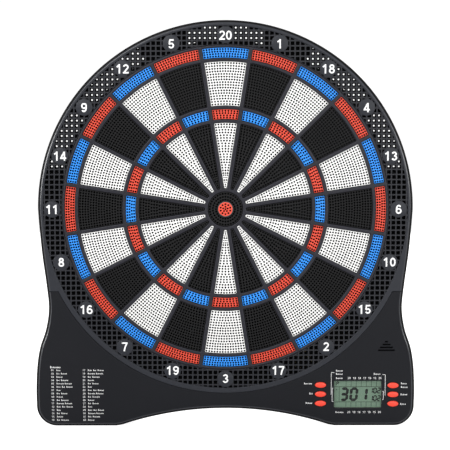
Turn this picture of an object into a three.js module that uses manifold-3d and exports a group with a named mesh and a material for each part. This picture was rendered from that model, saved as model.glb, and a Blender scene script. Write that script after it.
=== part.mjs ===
// Electronic dartboard for soft-tip darts, as a wall-hung assembly.
//
// Millimetres. +X is the right as a player sees the board, +Y points into the wall, +Z is up.
// The origin is where the bull's axis meets the wall: the rear face is y = 0 and the front is
// near y = -26. Plan shapes are drawn in (x, z) and extruded towards the player, along -Y.
//
// The stack from the wall to the player: rear cover, switch membrane, return mat, target beds
// (each slides towards the wall when a dart hits it) and the spider that keeps the beds apart.
import * as THREE from 'three';
import { mergeVertices } from 'three/addons/utils/BufferGeometryUtils.js';
import Module from 'manifold-3d';

const wasm = await Module();
wasm.setup();

const GAP = 0.3; // room kept between two pieces that touch
const SEAM = 0.15; // half of the line that shows between two housing mouldings

// Scoring area: radii of the rings, measured from the bull's axis
const SECTORS = 20;
const SECTOR_ANGLE = (2 * Math.PI) / SECTORS;
const DOUBLE = { inner: 160.5, outer: 171.5 };
const OUTER_SINGLE = { inner: 110.1, outer: 157.0 };
const TREBLE = { inner: 95.8, outer: 106.6 };
const INNER_SINGLE = { inner: 22.2, outer: 92.3 };
const BULL_RADIUS = 8.1;
const OUTER_BULL = { inner: 8.5, outer: 18.4 };
const BULL_OPENING = 18.75;
const RIB_WIDTH = 3.9;
const BED_CLEARANCE = 0.35; // between a bed and the ribs round it
const ARC_STEPS = 3; // straight edges along one sector of a ring

// Depths along Y, from the wall (0) to the player
const PLATE_FRONT = -2.0;
const SUPPORT_FRONT = -10.7;
const MEMBRANE = { back: -11.0, front: -11.6 };
const MAT = { back: -11.9, front: -13.4 };
const COVER_WALL_FRONT = -15.7;
const BED_FLANGE = { back: -14.9, front: -16.9 };
const SPIDER = { back: -17.2, front: -25.2 };
const BED_FACE = -24.2;
const HOUSING_FRONT = -26.0;
const HOUSING_SKIN = 2.4;
const PANEL_BACK = HOUSING_FRONT + HOUSING_SKIN;
const WALL_THICKNESS = 2.2;

// Catch ring: the pocketed band round the scoring area, with the number discs on it
const SPIDER_RADIUS = 174.2;
const CATCH = { inner: 174.5, outer: 194.5, back: -22.0, front: -25.2 };
const COLLAR = { thickness: 1.6, back: -16.0 };
const NUMBER_DISC = { radius: 8.8, ring: 184.7 };
const RIM_RADIUS = 200.0;
const SKIRT_BACK = -16.0;
const COVER_BOSS = { count: 10, ring: 180.5, radius: 3.2, pilot: 1.2, pilotDepth: 12.7 };

// Outline of the case, right half: a circle above, a waisted side, a foot and an arch below
const SIDE_POINTS = [
  [200.0, 0.0],
  [198.7, -20.0],
  [196.0, -50.0],
  [192.2, -80.0],
  [189.9, -107.0],
  [193.2, -130.0],
  [199.8, -150.0],
  [203.2, -170.0],
  [204.6, -195.0],
];
const FOOT = { x: 182.4, z: -214.5, radius: 22.0 };
const BOTTOM = FOOT.z - FOOT.radius;
const ARCH = { z: -569.8, radius: 352.6, blend: 3.4 };
const SEAM_Z = -88.75; // the ring frame ends and the console begins

// Rear cover
const COVER = { radius: 179.0, fullBelow: 43.0, wallInner: 172.9, wallOuter: 174.3 };
const COVER_RIBS = { rings: [60, 118], width: 2.4, spokes: 8, hub: 18 };
const COVER_FIT = 0.4; // the film and the mat end this far inside the cover's round wall
const TAIL_PORT = { from: 167, beyond: 4, extra: 3, back: -9.5 }; // way out for the film's ribbon
const HANGER = { from: 12.8, to: 27.5, reach: 197.2, x: 66.0, z: 171.0, hole: 4.6, slot: 2.4, rise: 8.5 };
const HANGER_WELL = { radius: 4.7, wall: 1.1, floor: -7.0, front: -8.2 }; // room for the screw's head
const BOSS_EAR = 5.4;
const SCREW_HOLE = 1.7;

// Console: display, buttons, speaker
const WINDOW = { x: 143.25, z: -201.95, width: 51.8, height: 30.3 };
const BUTTON = { length: 12.6, width: 6.8, proud: 1.2, lip: 1.2, lipDepth: 1.0 };
const BUTTON_POST = { radius: 1.5, back: -20.2 };
const BUTTONS = [
  ['button_power', 102.9, -191.3],
  ['button_up', 102.9, -201.4],
  ['button_down', 102.9, -211.7],
  ['button_game', 181.4, -191.8],
  ['button_start', 181.4, -201.8],
  ['button_next', 181.4, -212.1],
];
const GRILLE = { x: 173.75, slot: 1.6, rows: [[-143.75, 3.4], [-146.9, 8.6], [-150.05, 14], [-153.2, 18]] };
const SPEAKER = { x: 173.75, z: -149.0, radius: 13.5, basket: 5, magnet: 7.0, back: -14.5 };
const LENS = { back: -22.8, recess: 0.3, flange: 1.7, flangeBack: -22.6 };
const LCD = { width: 56, height: 36, front: -22.3, back: -19.7 };
const BOARD = { left: 95, right: 190, low: -221, high: -183, front: -18.9, back: -17.3 };
const CONSOLE_BOSS = { radius: 3.4, pilot: 1.3, pilotDepth: 12.0 };
const CONSOLE_BOSSES = [[-190, -150], [-188, -222], [-105, -215], [190, -172], [86, -206], [152, -162]];
const TAIL = { angle: 153, width: 20, from: 165, to: 228 }; // membrane's ribbon, to the board

// Battery compartment: three AA cells side by side
const CELL = { radius: 7.25, length: 49.5, pitch: 14.9, y: -10.2, sides: 12 };
const BATTERY = { x: -146, z: -196, width: 56, height: 46, wall: 1.5, floor: -18.1 };
const DOOR = { thickness: 1.6, ledge: 0.6, latch: [12, 2.4], latchIn: 3 };
const DOOR_GRIP = { grooves: 3, in: 7, pitch: 2.6, length: 14, width: 1.2, depth: 0.6 };
const CELL_STRIP = { out: 0.2, thickness: 0.8, overlap: 8, half: 4 }; // joins two neighbouring cells

const COLOURS = {
  housing: { color: 0x35363b, roughness: 0.55, metalness: 0.0 },
  white: { color: 0xf0f0ee, roughness: 0.5, metalness: 0.0 },
  black: { color: 0x1b1b1c, roughness: 0.5, metalness: 0.0 },
  red: { color: 0xe04a35, roughness: 0.5, metalness: 0.0 },
  blue: { color: 0x2e8ce8, roughness: 0.5, metalness: 0.0 },
  button: { color: 0xf04a38, roughness: 0.4, metalness: 0.0 },
  lens: { color: 0xb9c4c0, roughness: 0.1, metalness: 0.0 },
  lcd: { color: 0x93a393, roughness: 0.5, metalness: 0.0 },
  circuit: { color: 0x1f5b3a, roughness: 0.5, metalness: 0.1 },
  film: { color: 0xc9b27a, roughness: 0.4, metalness: 0.0 },
  mat: { color: 0x5a5a58, roughness: 0.9, metalness: 0.0 },
  speaker: { color: 0x3c3c3e, roughness: 0.4, metalness: 0.6 },
  battery: { color: 0x444a50, roughness: 0.35, metalness: 0.4 },
};

// ---- helpers ------------------------------------------------------------------------------

function asSolid(geometry) {
  const bare = geometry.index ? geometry.toNonIndexed() : geometry.clone();
  bare.deleteAttribute('normal');
  bare.deleteAttribute('uv');
  const welded = mergeVertices(bare, 1e-4);
  return new wasm.Manifold(
    new wasm.Mesh({
      numProp: 3,
      vertProperties: new Float32Array(welded.attributes.position.array),
      triVerts: new Uint32Array(welded.index.array),
    }),
  );
}

function asGeometry(body) {
  const mesh = body.getMesh();
  const geometry = new THREE.BufferGeometry();
  geometry.setAttribute('position', new THREE.BufferAttribute(new Float32Array(mesh.vertProperties), 3));
  geometry.setIndex(new THREE.BufferAttribute(new Uint32Array(mesh.triVerts), 1));
  geometry.computeVertexNormals();
  return geometry;
}

// A plan outline (points in x, z) made solid between two depths
function slab(points, back, front) {
  const shape = new THREE.Shape(points.map(([x, z]) => new THREE.Vector2(x, z)));
  const geometry = new THREE.ExtrudeGeometry(shape, { depth: back - front, bevelEnabled: false });
  geometry.rotateX(Math.PI / 2);
  geometry.translate(0, back, 0);
  return asSolid(geometry);
}

function disc(x, z, radius, back, front, sides) {
  const points = [];
  for (let i = 0; i < sides; i += 1) {
    const angle = ((i + 0.5) * 2 * Math.PI) / sides;
    points.push([x + radius * Math.cos(angle), z + radius * Math.sin(angle)]);
  }
  return slab(points, back, front);
}

function ring(inner, outer, back, front, sides = 60) {
  return disc(0, 0, outer, back, front, sides).subtract(disc(0, 0, inner, back + 1, front - 1, sides));
}

function rectangle(x, z, width, height, back, front) {
  const w = width / 2;
  const h = height / 2;
  return slab([[x - w, z - h], [x + w, z - h], [x + w, z + h], [x - w, z + h]], back, front);
}

function oval(x, z, length, width, back, front, sides = 16) {
  const points = [];
  for (let i = 0; i < sides; i += 1) {
    const angle = (i * 2 * Math.PI) / sides;
    points.push([x + (length / 2) * Math.cos(angle), z + (width / 2) * Math.sin(angle)]);
  }
  return slab(points, back, front);
}

// Angles here run clockwise from the top of the board, in degrees
function polar(radius, degrees) {
  const angle = (degrees * Math.PI) / 180;
  return [radius * Math.sin(angle), radius * Math.cos(angle)];
}

// A strip along a spoke of the board
function spoke(degrees, from, to, width, back, front) {
  const half = width / 2;
  const [sx, cx] = polar(1, degrees);
  const corner = (along, across) => [along * sx + across * cx, along * cx - across * sx];
  return slab([corner(from, -half), corner(from, half), corner(to, half), corner(to, -half)].reverse(),
    back, front);
}

function union(solids) {
  return solids.reduce((total, next) => total.add(next));
}

// Moves every edge of a closed outline inwards by the same distance
function inset(points, distance) {
  const count = points.length;
  return points.map((point, i) => {
    const before = new THREE.Vector2(...points[(i + count - 1) % count]);
    const here = new THREE.Vector2(...point);
    const after = new THREE.Vector2(...points[(i + 1) % count]);
    const first = here.clone().sub(before).normalize();
    const second = after.clone().sub(here).normalize();
    const bisector = new THREE.Vector2(-first.y - second.y, first.x + second.x).normalize();
    const stretch = distance / bisector.dot(new THREE.Vector2(-first.y, first.x));
    return [here.x + bisector.x * stretch, here.y + bisector.y * stretch];
  });
}

// ---- outline of the case ------------------------------------------------------------------

function rightHalf() {
  const points = [];
  const topSteps = 18;
  for (let i = 0; i < topSteps; i += 1) {
    points.push(polar(RIM_RADIUS, (90 * i) / topSteps));
  }
  const foot = [FOOT.x + FOOT.radius, FOOT.z];
  const side = new THREE.SplineCurve([...SIDE_POINTS, foot].map(([x, z]) => new THREE.Vector2(x, z)));
  const sideSteps = 16;
  for (let i = 0; i < sideSteps; i += 1) {
    const at = side.getPoint(i / sideSteps);
    points.push([at.x, at.y]);
  }
  const footSteps = 5;
  for (let i = 0; i <= footSteps; i += 1) {
    const angle = (-i * Math.PI) / 2 / footSteps;
    points.push([FOOT.x + FOOT.radius * Math.cos(angle), FOOT.z + FOOT.radius * Math.sin(angle)]);
  }
  const corner = Math.sqrt(ARCH.radius ** 2 - (ARCH.z - BOTTOM) ** 2);
  points.push([corner + ARCH.blend, BOTTOM]);
  const archSteps = 9;
  const archAngle = Math.asin((corner - ARCH.blend) / ARCH.radius);
  for (let i = 0; i < archSteps; i += 1) {
    const angle = archAngle * (1 - i / archSteps);
    points.push([ARCH.radius * Math.sin(angle), ARCH.z + ARCH.radius * Math.cos(angle)]);
  }
  points.push([0, ARCH.z + ARCH.radius]);
  return points;
}

// Counter-clockwise in (x, z), so the inside is on the left of every edge
function caseOutline() {
  const right = rightHalf();
  const left = right.slice(1, -1).map(([x, z]) => [-x, z]);
  return [...left, right[right.length - 1], ...right.slice(1, -1).reverse(), right[0]];
}

const OUTLINE = caseOutline();
const INNER_OUTLINE = inset(OUTLINE, WALL_THICKNESS);
const COVER_OUTLINE = inset(OUTLINE, WALL_THICKNESS + GAP);
const FAR = 300;

function above(z, back, front) {
  return slab([[-FAR, z], [FAR, z], [FAR, FAR], [-FAR, FAR]], back, front);
}

function below(z, back, front) {
  return slab([[-FAR, -FAR], [FAR, -FAR], [FAR, z], [-FAR, z]], back, front);
}

function sideWall() {
  return slab(OUTLINE, 0, HOUSING_FRONT).subtract(slab(INNER_OUTLINE, 1, HOUSING_FRONT - 1));
}

// ---- scoring area -------------------------------------------------------------------------

// One sector of a ring whose sides run parallel to the ribs, `margin` away from the ribs' middle.
// The inner edge is an arc, or a straight chord where `chord` is set.
function sectorPlan(degrees, inner, outer, margin, chord = false) {
  const points = [];
  const edge = (radius) => ((SECTOR_ANGLE / 2 - Math.asin(margin / radius)) * 180) / Math.PI;
  const innerSteps = chord ? 1 : ARC_STEPS;
  for (let i = 0; i <= ARC_STEPS; i += 1) {
    points.push(polar(outer, degrees + edge(outer) * (1 - (2 * i) / ARC_STEPS)));
  }
  for (let i = 0; i <= innerSteps; i += 1) {
    points.push(polar(inner, degrees - edge(inner) * (1 - (2 * i) / innerSteps)));
  }
  return points;
}

const RIB_EDGE = RIB_WIDTH / 2;
const BED_EDGE = RIB_EDGE + BED_CLEARANCE;
const FLANGE_EDGE = 0.55;
const FLANGES = {
  outer: [109.6, COVER.wallInner - COVER_FIT],
  inner: [22.4, 107.3],
  bull: OUTER_BULL.outer + 2,
};

function spider() {
  let body = disc(0, 0, SPIDER_RADIUS, SPIDER.back, SPIDER.front, 60);
  body = body.subtract(disc(0, 0, BULL_OPENING, SPIDER.back + 1, SPIDER.front - 1, 20));
  for (let i = 0; i < SECTORS; i += 1) {
    const degrees = (360 * i) / SECTORS;
    for (const band of [DOUBLE, OUTER_SINGLE, TREBLE, INNER_SINGLE]) {
      const plan = sectorPlan(degrees, band.inner, band.outer, RIB_EDGE, band === INNER_SINGLE);
      body = body.subtract(slab(plan, SPIDER.back + 1, SPIDER.front - 1));
    }
  }
  return body;
}

// Two scoring beds on one carrier flange that lies behind the spider
function bedPair(degrees, outerBand, innerBand, flangeInner, flangeOuter) {
  const flange = sectorPlan(degrees, flangeInner, flangeOuter, FLANGE_EDGE, true);
  const parts = [slab(flange, BED_FLANGE.back, BED_FLANGE.front)];
  for (const band of [outerBand, innerBand]) {
    const narrow = band === INNER_SINGLE;
    const low = band.inner + BED_CLEARANCE;
    const plan = sectorPlan(degrees, low, band.outer - BED_CLEARANCE, BED_EDGE, narrow);
    parts.push(slab(plan, BED_FLANGE.back - 1, BED_FACE));
  }
  return union(parts);
}

function outerBed(degrees) {
  return bedPair(degrees, DOUBLE, OUTER_SINGLE, ...FLANGES.outer);
}

function innerBed(degrees) {
  return bedPair(degrees, TREBLE, INNER_SINGLE, ...FLANGES.inner);
}

function outerBull() {
  const face = ring(OUTER_BULL.inner, OUTER_BULL.outer, BED_FLANGE.front + 0.5, BED_FACE, 20);
  const flange = ring(OUTER_BULL.inner, FLANGES.bull, BED_FLANGE.back, BED_FLANGE.front, 20);
  return face.add(flange);
}

function innerBull() {
  return disc(0, 0, BULL_RADIUS, BED_FLANGE.back, BED_FACE, 20);
}

// ---- housing ------------------------------------------------------------------------------

function bossAngles() {
  return Array.from({ length: COVER_BOSS.count }, (_, i) => (360 * i) / COVER_BOSS.count);
}

function ringFrame() {
  const front = HOUSING_FRONT;
  const seamRadius = RIM_RADIUS - SEAM;
  const rimPlan = slab(OUTLINE, PANEL_BACK, front)
    .intersect(above(SEAM_Z + SEAM, PANEL_BACK, front).add(disc(0, 0, seamRadius, PANEL_BACK, front, 72)));
  const wall = sideWall().intersect(above(SEAM_Z + SEAM, 0, front));
  const rim = rimPlan.subtract(disc(0, 0, CATCH.outer - 0.3, 0, front - 1, 72));
  const band = ring(CATCH.inner, CATCH.outer, CATCH.back, CATCH.front);
  const collar = ring(CATCH.inner, CATCH.inner + COLLAR.thickness, COLLAR.back, CATCH.front);
  const skirt = ring(seamRadius - WALL_THICKNESS, seamRadius, SKIRT_BACK, front, 72)
    .intersect(below(SEAM_Z + 1, 0, front));
  const parts = [wall, rim, band, collar, skirt];
  for (let i = 0; i < SECTORS; i += 1) {
    const [x, z] = polar(NUMBER_DISC.ring, (360 * i) / SECTORS);
    parts.push(disc(x, z, NUMBER_DISC.radius, CATCH.front + 1, front, 12));
  }
  const pilots = [];
  for (const degrees of bossAngles()) {
    const [x, z] = polar(COVER_BOSS.ring, degrees);
    parts.push(disc(x, z, COVER_BOSS.radius, PLATE_FRONT - GAP, CATCH.back - 1, 8));
    pilots.push(disc(x, z, COVER_BOSS.pilot, 0, PLATE_FRONT - COVER_BOSS.pilotDepth, 6));
  }
  return union(parts).subtract(union(pilots));
}

function consolePanel() {
  const front = HOUSING_FRONT;
  const seamRadius = RIM_RADIUS + SEAM;
  const lower = below(SEAM_Z - SEAM, 0, front);
  const plate = slab(OUTLINE, PANEL_BACK, front).intersect(lower);
  const wall = sideWall().intersect(lower);
  const skirt = ring(seamRadius, seamRadius + WALL_THICKNESS, SKIRT_BACK - 2, front, 72)
    .intersect(slab(OUTLINE, 0, front)).intersect(lower);
  const parts = [plate, wall, skirt];
  const cuts = [disc(0, 0, seamRadius, 1, front - 1, 72)];
  for (const [x, z] of CONSOLE_BOSSES) {
    parts.push(disc(x, z, CONSOLE_BOSS.radius, PLATE_FRONT - GAP, PANEL_BACK - 1, 8));
    cuts.push(disc(x, z, CONSOLE_BOSS.pilot, 0, PLATE_FRONT - CONSOLE_BOSS.pilotDepth, 6));
  }
  cuts.push(rectangle(WINDOW.x, WINDOW.z, WINDOW.width, WINDOW.height, 0, front - 1));
  for (const [, x, z] of BUTTONS) {
    cuts.push(oval(x, z, BUTTON.length, BUTTON.width, 0, front - 1));
  }
  for (const [z, width] of GRILLE.rows) {
    cuts.push(rectangle(GRILLE.x, z, width, GRILLE.slot, 0, front - 1));
  }
  return union(parts).subtract(union(cuts));
}

// A keyhole: the screw's head goes through the round hole, and its neck up the slot
function keyhole(side) {
  const x = side * HANGER.x;
  const z = HANGER.z;
  const slot = rectangle(x, z + HANGER.rise / 2, 2 * HANGER.slot, HANGER.rise, 1, PLATE_FRONT - 1);
  const top = disc(x, z + HANGER.rise, HANGER.slot, 1, PLATE_FRONT - 1, 10);
  return disc(x, z, HANGER.hole, 1, PLATE_FRONT - 1, 12).add(slot).add(top);
}

// A stadium standing upright over the keyhole's travel
function keyholeStadium(side, radius, back, front) {
  const x = side * HANGER.x;
  const middle = HANGER.z + HANGER.rise / 2;
  const low = disc(x, HANGER.z, radius, back, front, 16);
  const high = disc(x, HANGER.z + HANGER.rise, radius, back, front, 16);
  const width = 2 * radius * Math.cos(Math.PI / 16);
  return low.add(high).add(rectangle(x, middle, width, HANGER.rise, back, front));
}

function hangerLobe(side) {
  const points = [];
  const steps = 4;
  for (let i = 0; i <= steps; i += 1) {
    points.push(polar(HANGER.reach, side * (HANGER.from + ((HANGER.to - HANGER.from) * i) / steps)));
  }
  points.push(polar(COVER.radius - 6, side * HANGER.to), polar(COVER.radius - 6, side * HANGER.from));
  return slab(side > 0 ? points.reverse() : points, 0, PLATE_FRONT);
}

function rearCover() {
  const plate = slab(COVER_OUTLINE, 0, PLATE_FRONT).intersect(below(COVER.fullBelow, 0, PLATE_FRONT));
  const parts = [plate, disc(0, 0, COVER.radius, 0, PLATE_FRONT, 72), hangerLobe(1), hangerLobe(-1)];
  const cuts = [keyhole(1), keyhole(-1)];
  for (const degrees of bossAngles()) {
    const [x, z] = polar(COVER_BOSS.ring, degrees);
    parts.push(disc(x, z, BOSS_EAR, 0, PLATE_FRONT, 10));
    cuts.push(disc(x, z, SCREW_HOLE, 1, PLATE_FRONT - 1, 6));
  }
  for (const [x, z] of CONSOLE_BOSSES) {
    cuts.push(disc(x, z, SCREW_HOLE, 1, PLATE_FRONT - 1, 6));
  }
  const { radius: well, wall: wellWall, floor: wellFloor, front: wellFront } = HANGER_WELL;
  for (const side of [1, -1]) {
    parts.push(keyholeStadium(side, well + wellWall, PLATE_FRONT + 1, wellFront));
    cuts.push(keyholeStadium(side, well, PLATE_FRONT, wellFloor));
  }
  parts.push(ring(COVER.wallInner, COVER.wallOuter, PLATE_FRONT + 1, COVER_WALL_FRONT));
  for (const radius of [COVER_RIBS.hub, ...COVER_RIBS.rings]) {
    const sides = radius === COVER_RIBS.hub ? 12 : 24;
    parts.push(ring(radius, radius + COVER_RIBS.width, PLATE_FRONT + 1, SUPPORT_FRONT, sides));
  }
  for (let i = 0; i < COVER_RIBS.spokes; i += 1) {
    const degrees = (360 * (i + 0.5)) / COVER_RIBS.spokes;
    parts.push(spoke(degrees, COVER_RIBS.hub + 1, COVER.wallInner + 0.6, COVER_RIBS.width,
      PLATE_FRONT + 1, SUPPORT_FRONT));
  }
  const { x, z, width, height, wall, floor } = BATTERY;
  parts.push(rectangle(x, z, width + 2 * wall, height + 2 * wall, PLATE_FRONT + 1, floor - wall));
  cuts.push(rectangle(x, z, width, height, 1, floor));
  const portEnd = COVER.wallOuter + TAIL_PORT.beyond;
  const portWidth = TAIL.width + TAIL_PORT.extra;
  cuts.push(spoke(TAIL.angle, TAIL_PORT.from, portEnd, portWidth, TAIL_PORT.back, COVER_WALL_FRONT - 1));
  return union(parts).subtract(union(cuts));
}

function batteryDoor() {
  const { x, z, width, height } = BATTERY;
  const clear = 2 * GAP;
  const plate = rectangle(x, z, width - clear, height - clear, 0, -DOOR.thickness);
  const low = z - height / 2;
  const latchFoot = -DOOR.thickness + 0.5;
  const latch = rectangle(x, low + DOOR.latchIn, ...DOOR.latch, latchFoot, latchFoot - 0.5 - DOOR.ledge);
  const grip = [];
  for (let i = 0; i < DOOR_GRIP.grooves; i += 1) {
    const at = low + DOOR_GRIP.in + DOOR_GRIP.pitch * i;
    grip.push(rectangle(x, at, DOOR_GRIP.length, DOOR_GRIP.width, 1, -DOOR_GRIP.depth));
  }
  return plate.add(latch).subtract(union(grip));
}

// ---- works --------------------------------------------------------------------------------

function switchMembrane() {
  const sheet = disc(0, 0, COVER.wallInner - COVER_FIT, MEMBRANE.back, MEMBRANE.front, 60);
  return sheet.add(spoke(TAIL.angle, TAIL.from, TAIL.to, TAIL.width, MEMBRANE.back, MEMBRANE.front));
}

function returnMat() {
  return disc(0, 0, COVER.wallInner - COVER_FIT, MAT.back, MAT.front, 60);
}

function displayLens() {
  const { x, z, width, height } = WINDOW;
  const rim = 2 * LENS.flange;
  const pane = rectangle(x, z, width - 2 * GAP, height - 2 * GAP, LENS.back, HOUSING_FRONT + LENS.recess);
  return pane.add(rectangle(x, z, width + rim, height + rim, LENS.flangeBack, PANEL_BACK + GAP));
}

function lcdModule() {
  return rectangle(WINDOW.x, WINDOW.z, LCD.width, LCD.height, LCD.back, LCD.front);
}

function circuitBoard() {
  const { left, right, low, high, front, back } = BOARD;
  return rectangle((left + right) / 2, (low + high) / 2, right - left, high - low, back, front);
}

function speakerUnit() {
  const { x, z, radius, magnet, back } = SPEAKER;
  const basketBack = PANEL_BACK + SPEAKER.basket;
  const basket = disc(x, z, radius, basketBack, PANEL_BACK + GAP, 20);
  return basket.add(disc(x, z, magnet, back, basketBack - 1, 16));
}

function cellBody(index) {
  const geometry = new THREE.CylinderGeometry(CELL.radius, CELL.radius, CELL.length, CELL.sides);
  geometry.rotateZ(Math.PI / 2);
  geometry.translate(BATTERY.x, CELL.y, BATTERY.z + (index - 1) * CELL.pitch);
  return asSolid(geometry);
}

// Three cells in series: a contact strip joins two neighbours at each end
function batteryCells() {
  const parts = [cellBody(0), cellBody(1), cellBody(2)];
  for (const side of [-1, 1]) {
    const x = BATTERY.x + side * (CELL.length / 2 + CELL_STRIP.out);
    const z = BATTERY.z + side * (CELL.pitch / 2);
    parts.push(rectangle(x, z, CELL_STRIP.thickness, CELL.pitch + CELL_STRIP.overlap,
      CELL.y + CELL_STRIP.half, CELL.y - CELL_STRIP.half));
  }
  return union(parts);
}

function button(x, z) {
  const clear = 2 * GAP;
  const { length, width, proud, lip, lipDepth } = BUTTON;
  const lipFront = PANEL_BACK + GAP;
  const cap = oval(x, z, length - clear, width - clear, lipFront + 0.5, HOUSING_FRONT - proud);
  const edge = oval(x, z, length + 2 * lip - clear, width + 2 * lip - clear, lipFront + lipDepth, lipFront);
  return cap.add(edge).add(disc(x, z, BUTTON_POST.radius, BUTTON_POST.back, lipFront + 0.5, 8));
}

// ---- assembly -----------------------------------------------------------------------------

const board = new THREE.Group();
board.name = 'electronic_dartboard';

function place(name, body, colour) {
  const material = new THREE.MeshStandardMaterial(COLOURS[colour]);
  const mesh = new THREE.Mesh(asGeometry(body), material);
  mesh.name = name;
  board.add(mesh);
}

place('ring_frame', ringFrame(), 'housing');
place('console_panel', consolePanel(), 'housing');
place('rear_cover', rearCover(), 'housing');
place('battery_door', batteryDoor(), 'housing');
place('spider', spider(), 'housing');
place('switch_membrane', switchMembrane(), 'film');
place('return_mat', returnMat(), 'mat');
place('display_lens', displayLens(), 'lens');
place('lcd_module', lcdModule(), 'lcd');
place('circuit_board', circuitBoard(), 'circuit');
place('speaker', speakerUnit(), 'speaker');
place('battery_cells', batteryCells(), 'battery');
for (const [name, x, z] of BUTTONS) {
  place(name, button(x, z), 'button');
}
place('outer_bull', outerBull(), 'black');
place('inner_bull', innerBull(), 'red');
for (let i = 0; i < SECTORS; i += 1) {
  const degrees = (360 * i) / SECTORS;
  const label = String(i + 1).padStart(2, '0');
  place(`outer_bed_${label}`, outerBed(degrees), i % 2 === 0 ? 'white' : 'black');
  place(`inner_bed_${label}`, innerBed(degrees), i % 2 === 0 ? 'white' : 'black');
}

export default board;
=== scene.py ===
"""Looks of the electronic dartboard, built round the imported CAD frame.

Lengths are millimetres in the frame's own axes: +X to the player's right, +Y into the wall, +Z up.
Plan outlines are (x, z) points, and a depth is a y value (0 at the wall, -26 at the front).
Only the studio at the end is in metres.
"""
import math

import bmesh
import bpy
import numpy as np
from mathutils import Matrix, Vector, geometry


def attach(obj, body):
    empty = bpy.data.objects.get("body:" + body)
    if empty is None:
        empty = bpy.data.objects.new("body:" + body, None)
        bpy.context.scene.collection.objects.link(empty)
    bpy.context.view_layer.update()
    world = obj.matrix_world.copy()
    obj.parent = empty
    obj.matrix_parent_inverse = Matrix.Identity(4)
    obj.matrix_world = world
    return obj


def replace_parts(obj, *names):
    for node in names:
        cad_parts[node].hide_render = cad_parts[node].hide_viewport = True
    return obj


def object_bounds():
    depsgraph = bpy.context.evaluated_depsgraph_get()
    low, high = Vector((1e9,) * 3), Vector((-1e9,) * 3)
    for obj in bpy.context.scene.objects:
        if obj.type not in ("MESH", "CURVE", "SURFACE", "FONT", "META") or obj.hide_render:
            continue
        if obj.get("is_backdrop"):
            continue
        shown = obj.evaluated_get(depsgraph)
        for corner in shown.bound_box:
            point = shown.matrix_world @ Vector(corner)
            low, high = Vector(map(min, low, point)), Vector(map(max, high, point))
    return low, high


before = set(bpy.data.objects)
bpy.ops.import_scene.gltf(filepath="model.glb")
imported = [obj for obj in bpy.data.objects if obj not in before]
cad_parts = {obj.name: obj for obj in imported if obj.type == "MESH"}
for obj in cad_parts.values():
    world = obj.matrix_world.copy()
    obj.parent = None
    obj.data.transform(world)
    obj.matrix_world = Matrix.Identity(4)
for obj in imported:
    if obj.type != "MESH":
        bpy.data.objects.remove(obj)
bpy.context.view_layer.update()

MM = 0.001

# ---- sizes shared with the CAD part ----

SECTORS = 20
SECTOR = 360.0 / SECTORS
NUMBERS = (20, 1, 18, 4, 13, 6, 10, 15, 2, 17, 3, 19, 7, 16, 8, 11, 14, 9, 12, 5)
DOUBLE = (160.5, 171.5)
OUTER_SINGLE = (110.1, 157.0)
TREBLE = (95.8, 106.6)
INNER_SINGLE = (22.2, 92.3)
BULL_RADIUS = 8.1
OUTER_BULL = (8.5, 18.4)
BULL_OPENING = 18.75
RIB_EDGE = 1.95
BED_CLEARANCE = 0.35
BED_EDGE = RIB_EDGE + BED_CLEARANCE
FLANGE_EDGE = 0.55
FLANGE_REACH = 1.2
FLANGE_BACK, FLANGE_FRONT = -14.9, -16.9
BULL_FLANGE = 20.4
BED_FACE = -24.2
SPIDER_BACK, SPIDER_FRONT, SPIDER_RADIUS = -17.2, -25.2, 174.2
HOUSING_FRONT, PANEL_BACK, WALL = -26.0, -23.6, 2.2
CATCH_INNER, CATCH_OUTER, CATCH_FRONT = 174.5, 194.5, -25.2
COLLAR_THICKNESS, COLLAR_BACK = 1.6, -16.0
DISC_RADIUS, DISC_RING = 8.8, 184.7
RIM_RADIUS, SEAM, SEAM_Z, SKIRT_BACK = 200.0, 0.15, -88.75, -16.0
SEAM_STEP = 4.5           # length of the level piece at each end of the seam
PLATE_FRONT = -2.0
BOSS_RING, BOSS_RADIUS, BOSS_COUNT, BOSS_PILOT = 180.5, 3.2, 10, 1.2
SIDE_POINTS = ((200.0, 0.0), (198.7, -20.0), (196.0, -50.0), (192.2, -80.0), (189.9, -107.0),
               (193.2, -130.0), (199.8, -150.0), (203.2, -170.0), (204.6, -195.0))
FOOT_X, FOOT_Z, FOOT_RADIUS = 182.4, -214.5, 22.0
BOTTOM = FOOT_Z - FOOT_RADIUS
ARCH_Z, ARCH_RADIUS, ARCH_BLEND = -569.8, 352.6, 3.4
CONSOLE_BOSSES = ((-190, -150), (-188, -222), (-105, -215), (190, -172), (86, -206), (152, -162))
CONSOLE_BOSS_RADIUS, CONSOLE_PILOT = 3.4, 1.3
WINDOW_X, WINDOW_Z, WINDOW_WIDTH, WINDOW_HEIGHT = 143.25, -201.95, 51.8, 30.3
BUTTON_LENGTH, BUTTON_WIDTH, BUTTON_PROUD, BUTTON_LIP = 12.6, 6.8, 1.2, 1.2
BUTTONS = (("button_power", 102.9, -191.3), ("button_up", 102.9, -201.4), ("button_down", 102.9, -211.7),
           ("button_game", 181.4, -191.8), ("button_start", 181.4, -201.8), ("button_next", 181.4, -212.1))
BUTTON_LIP_DEPTH, POST_RADIUS, POST_BACK = 1.0, 1.5, -20.2
GRILLE_X, GRILLE_Z, GRILLE_SLOT = 173.75, -149.0, 1.6
GRILLE_ROWS = ((-143.75, 3.4), (-146.9, 8.6), (-150.05, 14.0), (-153.2, 18.0))
LCD_FRONT, GASKET_BACK = -22.3, -22.6
GAP = 0.3
COVER_RADIUS, COVER_FULL_BELOW = 179.0, 43.0
COVER_WALL_INNER, COVER_WALL_OUTER, COVER_WALL_FRONT = 172.9, 174.3, -15.7
RIB_RINGS, RIB_WALL, RIB_SPOKES, SUPPORT_FRONT = (18, 60, 118), 2.4, 8, -10.7
HANGER_FROM, HANGER_TO, HANGER_REACH = 12.8, 27.5, 197.2
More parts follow.
